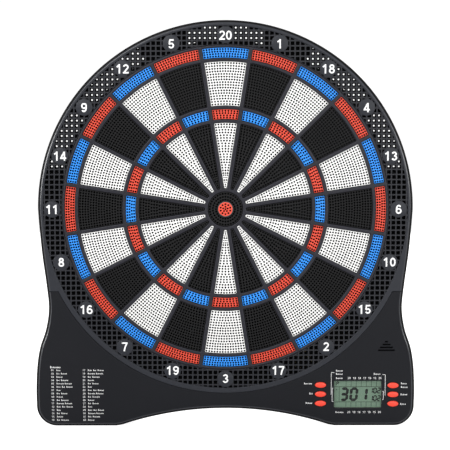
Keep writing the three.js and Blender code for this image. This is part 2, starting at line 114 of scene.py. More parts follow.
HANGER_X, HANGER_Z, HANGER_HOLE, HANGER_SLOT, HANGER_RISE = 66.0, 171.0, 4.6, 2.4, 8.5
WELL_RADIUS, WELL_WALL, WELL_FLOOR, WELL_FRONT = 4.7, 1.1, -7.0, -8.2
BOSS_EAR, SCREW_NECK = 5.4, 1.7
PORT_ANGLE, PORT_HALF, PORT_BACK = 153.0, 3.85, -9.5      # way out for the film's ribbon
BATTERY_X, BATTERY_Z, BATTERY_WIDTH, BATTERY_HEIGHT = -146, -196, 56, 46
BATTERY_WALL, BATTERY_FLOOR = 1.5, -18.1
CELL_LENGTH, CELL_STEP, CELL_AXIS = 49.5, 14.9, -10.2

# ---- sizes that only the looks have ----

ARC_LENGTH = 2.4          # longest straight edge along a ring
TOP_STEPS, SIDE_STEPS, FOOT_STEPS, ARCH_STEPS, SEAM_STEPS = 120, 90, 18, 40, 130
RING_SIDES = 360          # sides of the large circles
# (inset, drop) along the case's front edge: a fine line, the lit bevel, a step and the curve to the side
CASE_EDGE = ((3.4, 0.0), (3.2, 0.04), (2.3, 0.5), (2.1, 0.7), (1.3, 1.0), (0.35, 1.6), (0.0, 2.4))
SEAM_ROUND = 0.35         # edges of the line between the two mouldings
REAR_EDGE = 0.3           # chamfer of the mouldings' rear edge
RIB_ROUND, BED_ROUND = 0.9, 0.28
BED_CORNER, INNER_BED_CORNER, FLANGE_CORNER = 0.7, 1.3, 0.5      # rounding seen from the front
OPENING_CORNER, INNER_OPENING_CORNER = 0.9, 1.5
SLEEVE_WALL, SLEEVE_FIT, SLEEVE_RECESS, SLEEVE_ROUND = 0.5, 0.05, 0.15, 0.1      # round the inner bull
HOLE_MOUTH, HOLE_THROAT, HOLE_FUNNEL, HOLE_DEPTH, HOLE_SIDES = 1.1, 1.06, 0.1, 5.0, 8
HOLE_WEB = 0.12           # least half web between two holes of a row
TIP_HOLE = 0.8            # size of the single holes at a bed's tip
HOLE_END, OUTER_HOLE_END = 1.45, 1.55      # from a bed's side to the last hole's centre
BULL_SIDES, BULLSEYE_SIDES, BULL_LIP = 72, 48, 0.3
# Square pockets of the catch band
POCKET_PITCH, POCKET_WIDTH, POCKET_SHIFT, POCKET_EDGE = 5.435, 3.95, 1.85, 0.12
POCKET_FLOOR, CATCH_BACK, DRAIN_RADIUS = -21.0, -20.0, 1.0
DRAIN_INNER = 177.4       # nearer the bull, the cover closes the back of the band
CATCH_CLEAR = 0.18        # solid margin left at the band's outer edge and round the number discs
CATCH_LIP = 0.5           # solid margin at its inner edge
POCKET_ROUND, POCKET_DRAFT, POCKET_LEAST, POCKET_MERGE = 0.3, 0.15, 0.6, (0.3, 0.04)
DRAIN_LEAST, DRAIN_WALL, DRAIN_SIDES = 0.4, 0.12, 10
# Edges and fittings
FINE_ROUND, LIP_ROUND, DISC_ROUND, DISC_SIDES = 0.25, 0.5, 0.35, 64
PRINT = 0.06              # thickness of ink
# Domed face of a button: share of its outline, drop below the crown
BUTTON_CROWN = ((0.25, 0.0), (0.5, 0.05), (0.72, 0.16), (0.86, 0.34), (0.95, 0.62), (1.0, 1.0))
WINDOW_CORNER, PANE_CORNER, PANE_FRONT, PANE_BACK, PANE_ROUND = 0.8, 0.6, 0.3, 1.3, 0.2
GASKET_GROW, GASKET_CORNER, SCREEN_GROW, SCREEN_CORNER = 3.4, 1.0, 1.6, 0.4
# A near-black disc behind the speaker grille's slots: painted shade that darkens them
SHADE_DISC_RADIUS, SHADE_DISC_SIDES, SHADE_DISC_BACK, SHADE_DISC_FRONT = 13.2, 48, 0.24, 0.06

# Moulded panels in the cover's rear face
PANEL_DEPTH, PANEL_RIB, PANEL_CORNER = 0.8, 9.0, 3.0
PANEL_RINGS = ((26.0, 55.0), (66.0, 113.0), (125.0, 166.0))
PANELS = ((0.0, -186.0, 74.0, 12.0), (-60.0, -196.0, 34.0, 26.0), (60.0, -196.0, 34.0, 26.0),
          (134.0, -186.0, 44.0, 30.0))
DOOR_MARGIN, THUMB_WIDTH, THUMB_HEIGHT, THUMB_BELOW = 2.4, 18, 5, 2.2
LOUVRE_COUNT, LOUVRE_PITCH, LOUVRE_WIDTH, LOUVRE_HEIGHT, LOUVRE_X = 6, 3.4, 16, 1.6, GRILLE_X - 3
COVER_EDGE, DOOR_EDGE, SPEAKER_EDGE = 0.25, 0.3, 0.4
DOOR_CORNER, THUMB_CORNER, LOBE_OVERLAP, EAR_SIDES = 1.6, 2.4, 6, 32
BOX_CORNER, RIB_OVERLAP, COVER_ARC = 0.8, 0.6, 3.0

# Screw heads and the battery compartment
SCREW_POCKET, HEAD_RADIUS, HEAD_PROFILE = 3.3, 2.9, ((1.0, 0.0), (1.0, 0.25), (0.9, 0.5), (0.66, 0.65))
SOCKET_SIDES, NECK_SIDES, HEAD_SIDES, PILOT_SIDES, BOSS_SIDES, POST_SIDES = 28, 20, 24, 12, 24, 16
RECESS_ARM, RECESS_HALF, RECESS_FLOOR, RECESS_TAPER = 1.35, 0.32, 0.1, 0.7
SLEEVE_FACE, BAND_FACE, STEEL_FACE = 0, 1, 2
CELL_PROFILE = (          # place along the cell, radius, face
    (-24.75, 5.4, STEEL_FACE), (-24.75, 5.8, STEEL_FACE), (-24.5, 6.4, STEEL_FACE), (-24.2, 7.0, SLEEVE_FACE),
    (-23.9, 7.25, SLEEVE_FACE), (11.0, 7.25, BAND_FACE), (23.1, 7.25, BAND_FACE), (23.5, 7.0, BAND_FACE),
    (23.5, 6.3, STEEL_FACE), (23.2, 6.0, STEEL_FACE), (23.2, 2.9, STEEL_FACE), (24.5, 2.75, STEEL_FACE),
    (24.75, 2.5, STEEL_FACE))
CELL_SIDES, SPRING_SIDES, WIRE_SIDES = 40, 24, 6
SPRING_WIDE, SPRING_NARROW, SPRING_WIRE, SPRING_TURNS = 4.8, 3.0, 0.35, 3
PLATE_OUT, PLATE_THICK, PLATE_HALF, PLATE_SIDES, KNOB_SIDES = 27.5, 0.4, 5.2, 24, 16
SPRING_FOOT = PLATE_OUT - 0.3
CELL_END = CELL_LENGTH / 2 + 0.05      # where the contacts reach
KNOB = ((PLATE_OUT - 0.2, 2.6), (PLATE_OUT - 1.2, 2.2), (CELL_END, 1.4))      # place, radius

# Rows of dart holes: radius of the row, number of holes in it
DOUBLE_ROWS = ((169.7, 17), (167.22, 17), (164.75, 16), (162.28, 16))
TREBLE_ROWS = ((104.8, 9), (102.4, 9), (100.0, 8), (97.6, 8))
OUTER_COUNTS = (15, 15, 15, 15, 14, 14, 14, 13, 13, 13, 12, 12, 11, 11, 10, 10)
OUTER_ROWS = tuple((155.2 - 2.88 * i, count) for i, count in enumerate(OUTER_COUNTS))
INNER_COUNTS = (8, 8, 7, 7, 6, 6, 6, 5, 5, 5, 5, 4, 4, 4, 4, 3, 3, 3, 3)
INNER_ROWS = tuple((90.5 - 2.88 * i, count) for i, count in enumerate(INNER_COUNTS)) + (
    (36.4, 3), (33.9, 3), (31.2, 2), (28.9, 2), (26.7, 1), (24.6, 1))
BULL_ROWS = ((16.7, 36), (13.4, 30), (10.2, 24))
BULLSEYE_ROWS = ((5.3, 10), (2.5, 5), (0.0, 1))


# ---- plan outlines ----

def polar(radius, degrees):
    """A point on a circle round the bull; degrees run clockwise from the top."""
    angle = math.radians(degrees)
    return radius * math.sin(angle), radius * math.cos(angle)


def bow(x, z, rx, rz, start, end, steps=16):
    """Points along an ellipse; degrees run counter-clockwise from the right."""
    turns = [math.radians(start + (end - start) * i / steps) for i in range(steps + 1)]
    return [(x + rx * math.cos(turn), z + rz * math.sin(turn)) for turn in turns]


def oval(x, z, length, width, sides=32):
    """Counter-clockwise, as every solid outline is."""
    return bow(x, z, length / 2, width / 2, 0, 360, sides)[:-1]


def circle(radius, x=0.0, z=0.0, sides=RING_SIDES):
    return oval(x, z, 2 * radius, 2 * radius, sides)


def rounded_box(x, z, width, height, radius, steps=4):
    points = []
    for sx, sz, start in ((1, -1, -90), (1, 1, 0), (-1, 1, 90), (-1, -1, 180)):
        cx, cz = x + sx * (width / 2 - radius), z + sz * (height / 2 - radius)
        points += bow(cx, cz, radius, radius, start, start + 90, steps)
    return points


def sector_plan(inner, outer, margin, degrees=0.0):
    """One sector of a ring, its sides parallel to the ribs and `margin` from their middle."""
    points = []
    for radius, way in ((outer, 1), (inner, -1)):
        edge = SECTOR / 2 - math.degrees(math.asin(margin / radius))
        steps = max(1, round(2 * math.radians(edge) * radius / ARC_LENGTH))
        points += [polar(radius, degrees + way * edge * (1 - 2 * i / steps)) for i in range(steps + 1)]
    return points


def round_corners(points, radius, steps=4):
    """Replaces each sharp corner of a closed outline by a short curve."""
    result = []
    count = len(points)
    for i, here in enumerate(points):
        corner = Vector(here)
        before = corner - Vector(points[i - 1])
        after = Vector(points[(i + 1) % count]) - corner
        turn = abs(before.angle_signed(after))
        if turn < math.radians(30):
            result.append(here)
            continue
        reach = radius * math.tan(turn / 2)
        start = corner - before.normalized() * min(reach, 0.46 * before.length)
        end = corner + after.normalized() * min(reach, 0.46 * after.length)
        for j in range(steps + 1):
            t = j / steps
            at = start * (1 - t) ** 2 + corner * 2 * t * (1 - t) + end * t ** 2
            result.append((at.x, at.y))
    return result


def inset(points, distance):
    """Moves each edge of a closed outline to its left; distance is one number or one per edge."""
    here = np.array(points, float)
    count = len(here)
    move = np.full(count, float(distance)) if np.isscalar(distance) else np.array(distance, float)
    step = np.roll(here, -1, axis=0) - here
    normal = np.stack([-step[:, 1], step[:, 0]], axis=1) / np.linalg.norm(step, axis=1)[:, None]
    first, second = np.roll(normal, 1, axis=0), normal
    d1, d2 = np.roll(move, 1), move
    cross = first[:, 0] * second[:, 1] - first[:, 1] * second[:, 0]
    middle = first + second
    middle /= np.linalg.norm(middle, axis=1)[:, None]
    straight = middle * (0.5 * (d1 + d2) / (middle * first).sum(1))[:, None]
    safe = np.where(np.abs(cross) < 0.02, 1.0, cross)
    corner = np.stack([(d1 * second[:, 1] - d2 * first[:, 1]) / safe,
                       (first[:, 0] * d2 - second[:, 0] * d1) / safe], axis=1)
    return here + np.where((np.abs(cross) < 0.02)[:, None], straight, corner)


def cut(points, normal, limit):
    """The part of a convex outline where the point's distance along normal is below limit."""
    result = []
    for i, a in enumerate(points):
        b = points[(i + 1) % len(points)]
        da = a[0] * normal[0] + a[1] * normal[1] - limit
        db = b[0] * normal[0] + b[1] * normal[1] - limit
        if da <= 0:
            result.append(a)
        if da * db < 0:
            t = da / (da - db)
            result.append((a[0] + t * (b[0] - a[0]), a[1] + t * (b[1] - a[1])))
    return result


def area(points):
    return 0.5 * sum(a[0] * b[1] - b[0] * a[1] for a, b in zip(points, points[1:] + points[:1]))


def spline(points, count):
    """Uniform Catmull-Rom curve through the points, as the CAD part draws its side."""
    result = []
    last = len(points) - 1
    for i in range(count):
        where = last * i / count
        k = int(where)
        t = where - k
        p0, p1 = points[max(k - 1, 0)], points[k]
        p2, p3 = points[min(k + 1, last)], points[min(k + 2, last)]
        value = []
        for a, b, c, d in zip(p0, p1, p2, p3):
            v0, v1 = (c - a) * 0.5, (d - b) * 0.5
            cubic, square = 2 * b - 2 * c + v0 + v1, -3 * b + 3 * c - 2 * v0 - v1
            value.append(cubic * t ** 3 + square * t ** 2 + v0 * t + b)
        result.append(tuple(value))
    return result


def case_right():
    """Right half of the case's outline, from just right of the top to the middle of the arch."""
    points = [polar(RIM_RADIUS, 90 * i / TOP_STEPS) for i in range(TOP_STEPS)]
    foot = (FOOT_X + FOOT_RADIUS, FOOT_Z)
    points += spline([*SIDE_POINTS, foot], SIDE_STEPS)
    points += bow(FOOT_X, FOOT_Z, FOOT_RADIUS, FOOT_RADIUS, 0, -90, FOOT_STEPS)
    corner = math.sqrt(ARCH_RADIUS ** 2 - (ARCH_Z - BOTTOM) ** 2)
    points.append((corner + ARCH_BLEND, BOTTOM))
    start = math.degrees(math.acos((corner - ARCH_BLEND) / ARCH_RADIUS))
    return points + bow(0, ARCH_Z, ARCH_RADIUS, ARCH_RADIUS, start, 90, ARCH_STEPS)


def crossing(points, z):
    """Splits the case's right side where it crosses the height z: (above, crossing point, below)."""
    for i, (a, b) in enumerate(zip(points, points[1:])):
        if a[1] >= z > b[1]:
            t = (a[1] - z) / (a[1] - b[1])
            return points[:i + 1], (a[0] + t * (b[0] - a[0]), z), points[i + 1:]


def mirrored(points):
    return [(-x, z) for x, z in reversed(points)]


# ---- mesh making ----

def rounded(front, radius, steps=3):
    """(inset, depth) pairs of a quarter-round edge, from the front face to the wall."""
    turns = [math.pi / 2 * i / steps for i in range(steps + 1)]
    return [(radius * (1 - math.sin(turn)), front + radius * (1 - math.cos(turn))) for turn in turns]


class Shape:
    """Vertices in millimetres and the faces on them; each face has the number of its material."""

    def __init__(self):
        self.vertices = []
        self.faces = []
        self.looks = []
        self.look = 0

    def face(self, corners):
        self.faces.append(tuple(corners))
        self.looks.append(self.look)

    def loop(self, plan, depth):
        start = len(self.vertices)
        depths = [depth] * len(plan) if np.isscalar(depth) else depth
        self.vertices += [(float(x), float(y), float(z)) for (x, z), y in zip(plan, depths)]
        return list(range(start, len(self.vertices)))

    def bridge(self, first, second, looks=None):
        count = len(first)
        for i in range(count):
            j = (i + 1) % count
            self.face((first[i], first[j], second[j], second[i]))
            if looks is not None:
                self.looks[-1] = int(looks[i])

    def stack(self, loops):
        """Walls from each loop to the next; gives the first and the last loop."""
        for first, second in zip(loops, loops[1:]):
            self.bridge(first, second)
        return loops[0], loops[-1]

    def bands(self, plan, profile):
        """Walls through (inset, depth) pairs; gives the first and the last loop."""
        return self.stack([self.loop(inset(plan, distance), depth) for distance, depth in profile])

    def fill(self, outer, holes=()):
        """Triangles over the area inside the outer loop and outside the holes."""
        order = [i for ring in (outer, *holes) for i in ring]
        plan = [Vector(self.vertices[i][::2]) for i in order]
        wholes, start = [], 0
        for ring in (outer, *holes):
            whole = list(range(start, start + len(ring)))
            wholes.append(whole if area([plan[i] for i in whole]) > 0 else whole[::-1])
            start += len(ring)
        _, _, triangles, sources, _, owners = geometry.delaunay_2d_cdt(plan, [], wholes, 1, 1e-6)
        for corners, owner in zip(triangles, owners):
            if list(owner) == [0]:
                self.face([order[sources[i][0]] for i in corners])

    def slab(self, plan, back, front, round_=0.0, steps=3):
        """A closed plate with an optional quarter-round front edge."""
        profile = rounded(front, round_, steps) if round_ else [(0.0, front)]
        first, last = self.bands(plan, profile + [(0.0, back)])
        self.fill(first)
        self.fill(last)

    def ring(self, inner, outer, back, front, round_=0.0):
        profile = (rounded(front, round_) if round_ else [(0.0, front)]) + [(0.0, back)]
        out_first, out_last = self.bands(outer, profile)
        in_first, in_last = self.bands(inner[::-1], profile)
        self.fill(out_first, [in_first])
        self.fill(out_last, [in_last])


def make(name, shape, materials, body, turn=0.0, sharp=35.0, soft=True):
    """A mesh piece from a shape, turned clockwise about the bull's axis, riding on a body."""
    angle = math.radians(turn)
    points = np.array(shape.vertices) * MM
    x = points[:, 0] * math.cos(angle) + points[:, 2] * math.sin(angle)
    z = -points[:, 0] * math.sin(angle) + points[:, 2] * math.cos(angle)
    mesh = bpy.data.meshes.new(name)
    mesh.from_pydata(np.stack([x, points[:, 1], z], axis=1).tolist(), [], shape.faces)
    for material in materials:
        mesh.materials.append(material)
    if len(materials) > 1:
        mesh.polygons.foreach_set("material_index", shape.looks)
    work = bmesh.new()
    work.from_mesh(mesh)
    bmesh.ops.recalc_face_normals(work, faces=work.faces)
    work.to_mesh(mesh)
    work.free()
    mesh.shade_smooth()
    mesh.set_sharp_from_angle(angle=math.radians(sharp))
    piece = bpy.data.objects.new(name, mesh)
    bpy.context.scene.collection.objects.link(piece)
    if soft:
        weighted = piece.modifiers.new("even_shading", "WEIGHTED_NORMAL")
        weighted.keep_sharp = True
    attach(piece, body)
    return piece


# ---- materials ----

def tint(colour, factor):
    return tuple(min(1.0, c * factor) for c in colour) + (1.0,)


def srgb(red, green, blue):
    """Linear colour from the 0-255 values of a paint or plastic chip."""
    return tuple((c / 255 / 12.92) if c / 255 <= 0.04045 else ((c / 255 + 0.055) / 1.055) ** 2.4
                 for c in (red, green, blue))


def add(tree, kind, **values):
    """A new shader node with values on its inputs; an underscore stands for a space."""
    node = tree.nodes.new("ShaderNode" + kind)
    for name, value in values.items():
        node.inputs[name.replace("_", " ")].default_value = value
    return node


GLOSS_SPREAD, GRAIN_RELIEF, COAT_ROUGHNESS = 0.08, 0.0002, 0.15


def moulded(name, colour, roughness=0.5, grain=2600.0, bump=0.12, variation=0.05, coat=0.0, metal=0.0,
            patches=9.0, specular=0.5):
    """Moulded plastic: fine spark-eroded grain, faint cloudy tone and uneven gloss."""
    material = bpy.data.materials.new(name)
    material.use_nodes = True
    tree = material.node_tree
    link = tree.links.new
    shader = tree.nodes["Principled BSDF"]
    for socket, value in (("Metallic", metal), ("Specular IOR Level", specular), ("Coat Weight", coat),
                          ("Coat Roughness", COAT_ROUGHNESS)):
        shader.inputs[socket].default_value = value
    place = add(tree, "TexCoord")
    cloud = add(tree, "TexNoise", Scale=patches, Detail=5.0)
    link(place.outputs["Object"], cloud.inputs["Vector"])
    tone = add(tree, "Mix")
    tone.data_type = "RGBA"
    tone.inputs["A"].default_value = tint(colour, 1 - variation)
    tone.inputs["B"].default_value = tint(colour, 1 + variation)
    link(cloud.outputs["Fac"], tone.inputs["Factor"])
    fine = add(tree, "TexNoise", Scale=grain, Detail=2.0)
    link(place.outputs["Object"], fine.inputs["Vector"])
    gloss = add(tree, "MapRange", To_Min=roughness - GLOSS_SPREAD, To_Max=roughness + GLOSS_SPREAD)
    link(cloud.outputs["Fac"], gloss.inputs["Value"])
    link(gloss.outputs["Result"], shader.inputs["Roughness"])
    relief = add(tree, "Bump", Strength=bump, Distance=GRAIN_RELIEF)
    link(fine.outputs["Fac"], relief.inputs["Height"])
    link(relief.outputs["Normal"], shader.inputs["Normal"])
    link(tone.outputs["Result"], shader.inputs["Base Color"])
    return material


def plastic(name, red, green, blue, roughness, **more):
    """A moulded material from the 0-255 values of its paint or plastic chip."""
    return moulded(name, srgb(red, green, blue), roughness, **more)


HOUSING = plastic("housing_plastic", 25, 26, 30, 0.42, grain=1500, bump=0.2, variation=0.07, specular=0.16)
RIM = plastic("rim_plastic", 40, 42, 48, 0.38, grain=1500, bump=0.2, specular=0.3)
# Lighter and glossier than the rim and the housing: a painted highlight along the bevel of the case's edge
BEVEL = plastic("bevel_painted_highlight", 44, 46, 52, 0.25, grain=1500, bump=0.1, specular=0.9)
# Near black on the step and the curve of the case's edge: painted shade
FLANK_SHADE = plastic("flank_painted_shade", 12, 12, 14, 0.5, grain=1500, bump=0.2, specular=0.15)
SPIDER_LOOK = plastic("spider_plastic", 36, 36, 43, 0.36, grain=1800, bump=0.2, specular=0.3)
CATCH_LOOK = plastic("catch_plastic", 37, 38, 43, 0.4, grain=1800, bump=0.2, specular=0.3)
BORE = plastic("bore_shadow", 9, 9, 10, 0.8, bump=0.05, specular=0.05)
REAR = plastic("rear_plastic", 42, 43, 47, 0.42, grain=1300, bump=0.2, variation=0.06)
REAR_GRAIN = plastic("rear_texture", 62, 63, 68, 0.85, grain=700, bump=0.7, variation=0.12)
WHITE = plastic("segment_white", 243, 243, 241, 0.4, bump=0.05, variation=0.01)
BLACK = plastic("segment_black", 21, 21, 22, 0.5, bump=0.1, specular=0.2)
RED = plastic("segment_red", 226, 75, 54, 0.38, bump=0.05, variation=0.04)
BLUE = plastic("segment_blue", 46, 148, 248, 0.38, bump=0.05, variation=0.04)
BUTTON_LOOK = plastic("button_red", 246, 72, 52, 0.35, bump=0.05, variation=0.03)
INK = plastic("print_white", 245, 245, 245, 0.5, grain=4000, bump=0.05, variation=0.02)
TRIM = plastic("trim_grey", 96, 100, 100, 0.35, bump=0.1)
SCREEN = plastic("lcd_screen", 112, 138, 118, 0.3, grain=3500, bump=0.02, patches=25)
SEGMENT_INK = plastic("lcd_digit", 3, 5, 4, 0.4, bump=0.02)
SEGMENT_FAINT = plastic("lcd_line", 38, 50, 40, 0.4, bump=0.02)
CIRCUIT = plastic("circuit_board", 24, 84, 52, 0.35, grain=900, bump=0.2, variation=0.12, patches=60)
FILM = plastic("membrane_film", 206, 184, 128, 0.25, grain=300, bump=0.05)
RUBBER = plastic("mat_rubber", 70, 70, 68, 0.85, grain=900, bump=0.5, variation=0.1)
METAL = plastic("speaker_metal", 90, 90, 92, 0.4, metal=0.7, bump=0.1)
STEEL = plastic("screw_steel", 170, 170, 172, 0.3, metal=1.0, bump=0.08)
SLEEVE = plastic("cell_sleeve", 38, 92, 104, 0.28, grain=3000, bump=0.04, coat=0.3)
BAND = plastic("cell_band", 190, 192, 190, 0.3, grain=3000, metal=0.6, bump=0.04)
LENS = moulded("lens_clear", (0.05, 0.06, 0.055), 0.12, bump=0.01, variation=0.01, specular=0.2)
LENS.node_tree.nodes["Principled BSDF"].inputs["Alpha"].default_value = 0.05


# ---- scoring beds ----

def dart_hole(shape, x, z, size=1.0):
    """A blind hole with a funnel mouth; gives the loop that lies in the face."""
    start, loops = 180 / HOLE_SIDES, []
    for radius, depth in ((HOLE_MOUTH, 0.0), (HOLE_THROAT, HOLE_FUNNEL), (HOLE_THROAT, HOLE_DEPTH)):
        ring = bow(x, z, size * radius, size * radius, start, start - 360, HOLE_SIDES)[:-1]
        loops.append(shape.loop(ring, BED_FACE + depth))
    shape.bridge(loops[0], loops[1])
    shape.look = 1
    shape.bridge(loops[1], loops[2])
    shape.face(loops[2])
    shape.look = 0
    return loops[0]


def hole_places(rows, end):
    """(x, z, size) of holes in rows along arcs, the last ones `end` from the bed's sides."""
    places = []
    for radius, count in rows:
        reach, size = 0, TIP_HOLE
        if count > 1:
            reach = radius * math.sin(math.radians(SECTOR / 2) - math.asin((BED_EDGE + end) / radius))
            size = min(1.0, (reach / (count - 1) - HOLE_WEB) / HOLE_MOUTH)
        for i in range(count):
            x = -reach + 2 * reach * i / max(count - 1, 1)
            places.append((x, math.sqrt(radius ** 2 - x ** 2), size))
    return places


def bed_shape(band, places, corner):
    """A scoring bed: the pierced face, its sides and the wider flange that the spider holds."""
    shape = Shape()
    inner, outer = band[0] + BED_CLEARANCE, band[1] - BED_CLEARANCE
    plan = round_corners(sector_plan(inner, outer, BED_EDGE), corner)
    face, foot = shape.bands(plan, rounded(BED_FACE, BED_ROUND) + [(0.0, FLANGE_FRONT)])
    shape.fill(face, [dart_hole(shape, *place) for place in places])
    flange = sector_plan(inner - FLANGE_REACH, outer + FLANGE_REACH, FLANGE_EDGE)
    flange = round_corners(flange, FLANGE_CORNER)
    front, back = shape.bands(flange, [(0.0, FLANGE_FRONT), (0.0, FLANGE_BACK)])
    shape.fill(front, [foot])
    shape.fill(back)
    return shape


PAINTS = {"white": WHITE, "black": BLACK, "red": RED, "blue": BLUE}
# piece, CAD body, band, rows of holes, their distance from the sides, corner, paint in even and odd sectors
BEDS = (
    ("double", "outer_bed", DOUBLE, DOUBLE_ROWS, HOLE_END, BED_CORNER, ("blue", "red")),
    ("outer_single", "outer_bed", OUTER_SINGLE, OUTER_ROWS, OUTER_HOLE_END, BED_CORNER, ("white", "black")),
    ("treble", "inner_bed", TREBLE, TREBLE_ROWS, HOLE_END, BED_CORNER, ("red", "blue")),
    ("inner_single", "inner_bed", INNER_SINGLE, INNER_ROWS, HOLE_END, INNER_BED_CORNER, ("white", "black")),
)


def scoring_beds():
    shapes = [bed_shape(band, hole_places(rows, end), corner) for _, _, band, rows, end, corner, _ in BEDS]
    for i in range(SECTORS):
        for (kind, body, *_, paints), shape in zip(BEDS, shapes):
            paint, node = paints[i % 2], f"{body}_{i + 1:02d}"
            piece = make(f"{kind}_{i + 1:02d}", shape, [PAINTS[paint], BORE], node,
                         turn=SECTOR * i, soft=False)
            if kind.endswith("single"):
                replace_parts(piece, node)


def ring_places(rows):
    """Evenly spaced places on rings, from (radius, count) pairs."""
    return [polar(radius, 360 * i / count) for radius, count in rows for i in range(count)]


def bulls():
    outer = Shape()
    edge = rounded(BED_FACE, BED_ROUND) + [(0.0, FLANGE_FRONT)]
    face, foot = outer.bands(circle(OUTER_BULL[1], sides=BULL_SIDES), edge)
    lip_edge = [(BULL_LIP, BED_FACE), (0.0, BED_FACE + BULL_LIP), (0.0, FLANGE_BACK)]
    lip, bore = outer.bands(circle(OUTER_BULL[0], sides=BULLSEYE_SIDES)[::-1], lip_edge)
    outer.fill(face, [lip] + [dart_hole(outer, *place) for place in ring_places(BULL_ROWS)])
    flange = circle(BULL_FLANGE, sides=BULL_SIDES)
    front, back = outer.bands(flange, [(0.0, FLANGE_FRONT), (0.0, FLANGE_BACK)])
    outer.fill(front, [foot])
    outer.fill(back, [bore])
    piece = make("outer_bull_segment", outer, [BLACK, BORE], "outer_bull", soft=False)
    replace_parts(piece, "outer_bull")
    middle = Shape()
    plan = circle(BULL_RADIUS - SLEEVE_WALL - SLEEVE_FIT, sides=BULLSEYE_SIDES)
    face, foot = middle.bands(plan, rounded(BED_FACE, BED_ROUND) + [(0.0, FLANGE_BACK)])
    middle.fill(face, [dart_hole(middle, *place) for place in ring_places(BULLSEYE_ROWS)])
    middle.fill(foot)
    piece = make("bullseye_segment", middle, [RED, BORE], "inner_bull", soft=False)
    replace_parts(piece, "inner_bull")
    sleeve = Shape()
    inner, outer = [circle(BULL_RADIUS - wall, sides=BULLSEYE_SIDES) for wall in (SLEEVE_WALL, 0)]
    sleeve.ring(inner, outer, FLANGE_BACK, BED_FACE - SLEEVE_RECESS, SLEEVE_ROUND)
    make("bullseye_sleeve", sleeve, [TRIM], "inner_bull")


# ---- spider ----

def spider():
    shape = Shape()
    edge = rounded(SPIDER_FRONT, RIB_ROUND) + [(0.0, SPIDER_BACK)]
    front, back = shape.bands(circle(SPIDER_RADIUS), edge)
    plans = [circle(BULL_OPENING, sides=BULL_SIDES)]
    for i in range(SECTORS):
        for inner, outer in (DOUBLE, OUTER_SINGLE, TREBLE):
            plans.append(round_corners(sector_plan(inner, outer, RIB_EDGE, SECTOR * i), OPENING_CORNER))
        plans.append(round_corners(sector_plan(*INNER_SINGLE, RIB_EDGE, SECTOR * i), INNER_OPENING_CORNER))
    holes = [shape.bands(plan[::-1], edge) for plan in plans]
    shape.fill(front, [first for first, _ in holes])
    shape.fill(back, [last for _, last in holes])
    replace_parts(make("spider_web", shape, [SPIDER_LOOK], "root"), "spider")


# ---- housing ----

def seam_line(corner, radius):
    """The seam between the mouldings, left to right: level at its ends, round below the ring."""
    join = math.sqrt(radius ** 2 - corner[1] ** 2)
    start = 180 - math.degrees(math.asin(join / radius))
    arc = [polar(radius, 360 - start - (360 - 2 * start) * i / SEAM_STEPS) for i in range(SEAM_STEPS + 1)]
    level = corner[0] - SEAM_STEP
    return [(-level, corner[1])] + arc + [(level, corner[1])]


def ring_plan():
    """The ring frame's outline, and whether each edge is on the outside of the case."""
    above, corner, _ = crossing(case_right(), SEAM_Z + SEAM)
    right = above + [corner]
    left = [(-x, z) for x, z in right]
    lower = seam_line(corner, RIM_RADIUS - SEAM)
    plan = left + lower + right[:0:-1]
    outside = [True] * (len(left) - 1) + [False] * (len(lower) + 1) + [True] * (len(right) - 1)
    return plan, outside


def console_plan():
    """The console's outline, and whether each edge is on the outside of the case."""
    _, corner, below = crossing(case_right(), SEAM_Z - SEAM)
    right = [corner] + below
    left = mirrored(right[:-1])
    upper = seam_line(corner, RIM_RADIUS + SEAM)
    plan = left + upper + right
    outside = [True] * (len(left) - 1) + [False] * (len(upper) + 1) + [True] * len(right)
    return plan[::-1], outside[-2::-1] + outside[-1:]


def case_shell(shape, plan, outside, holes, wall_back, skirt_back):
    """A moulded shell: front face, bevelled outer edge, side wall, seam skirt and the inside faces.

    Faces of look 2, the fine line and the bevel, get a lighter, glossier plastic as a painted highlight, and
    faces of look 1, the step and the curve, a near-black one as painted shade; the rest have look 0.
    """
    outside = np.array(outside)
    corner = outside | np.roll(outside, 1)
    seam_edge = rounded(HOUSING_FRONT, SEAM_ROUND, len(CASE_EDGE) - 1)
    loops = []
    for (big, drop), small in zip(CASE_EDGE, seam_edge):
        flat = inset(plan, np.where(outside, big, small[0]))
        loops.append(shape.loop(flat, np.where(corner, HOUSING_FRONT + drop, small[1])))
    back = np.where(corner, wall_back, skirt_back)
    for distance, depth in ((0.0, back - REAR_EDGE), (REAR_EDGE, back), (WALL, back), (WALL, PANEL_BACK)):
        loops.append(shape.loop(inset(plan, distance), depth))
    for i, (a, b) in enumerate(zip(loops, loops[1:])):
        shape.bridge(a, b, outside * (2 if i < 2 else 1 if i < len(CASE_EDGE) - 1 else 0))
    shape.fill(loops[0], [first for first, _ in holes])
    shape.fill(loops[-1], [last for _, last in holes])


def bosses(name, places, radius, pilot, front):
    """Hollow screw bosses standing behind a front moulding."""
    shape = Shape()
    for x, z in places:
        inner, outer = circle(pilot, x, z, PILOT_SIDES), circle(radius, x, z, BOSS_SIDES)
        shape.ring(inner, outer, PLATE_FRONT - GAP, front)
    make(name, shape, [HOUSING], "root")


def ring_frame():
    shape = Shape()
    plan, outside = ring_plan()
    lip = rounded(HOUSING_FRONT, LIP_ROUND) + [(0.0, PANEL_BACK)]
    hole = shape.bands(circle(CATCH_OUTER)[::-1], lip)
    case_shell(shape, plan, outside, [hole], 0.0, SKIRT_BACK)
    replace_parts(make("ring_rim", shape, [RIM, FLANK_SHADE, BEVEL], "root"), "ring_frame")


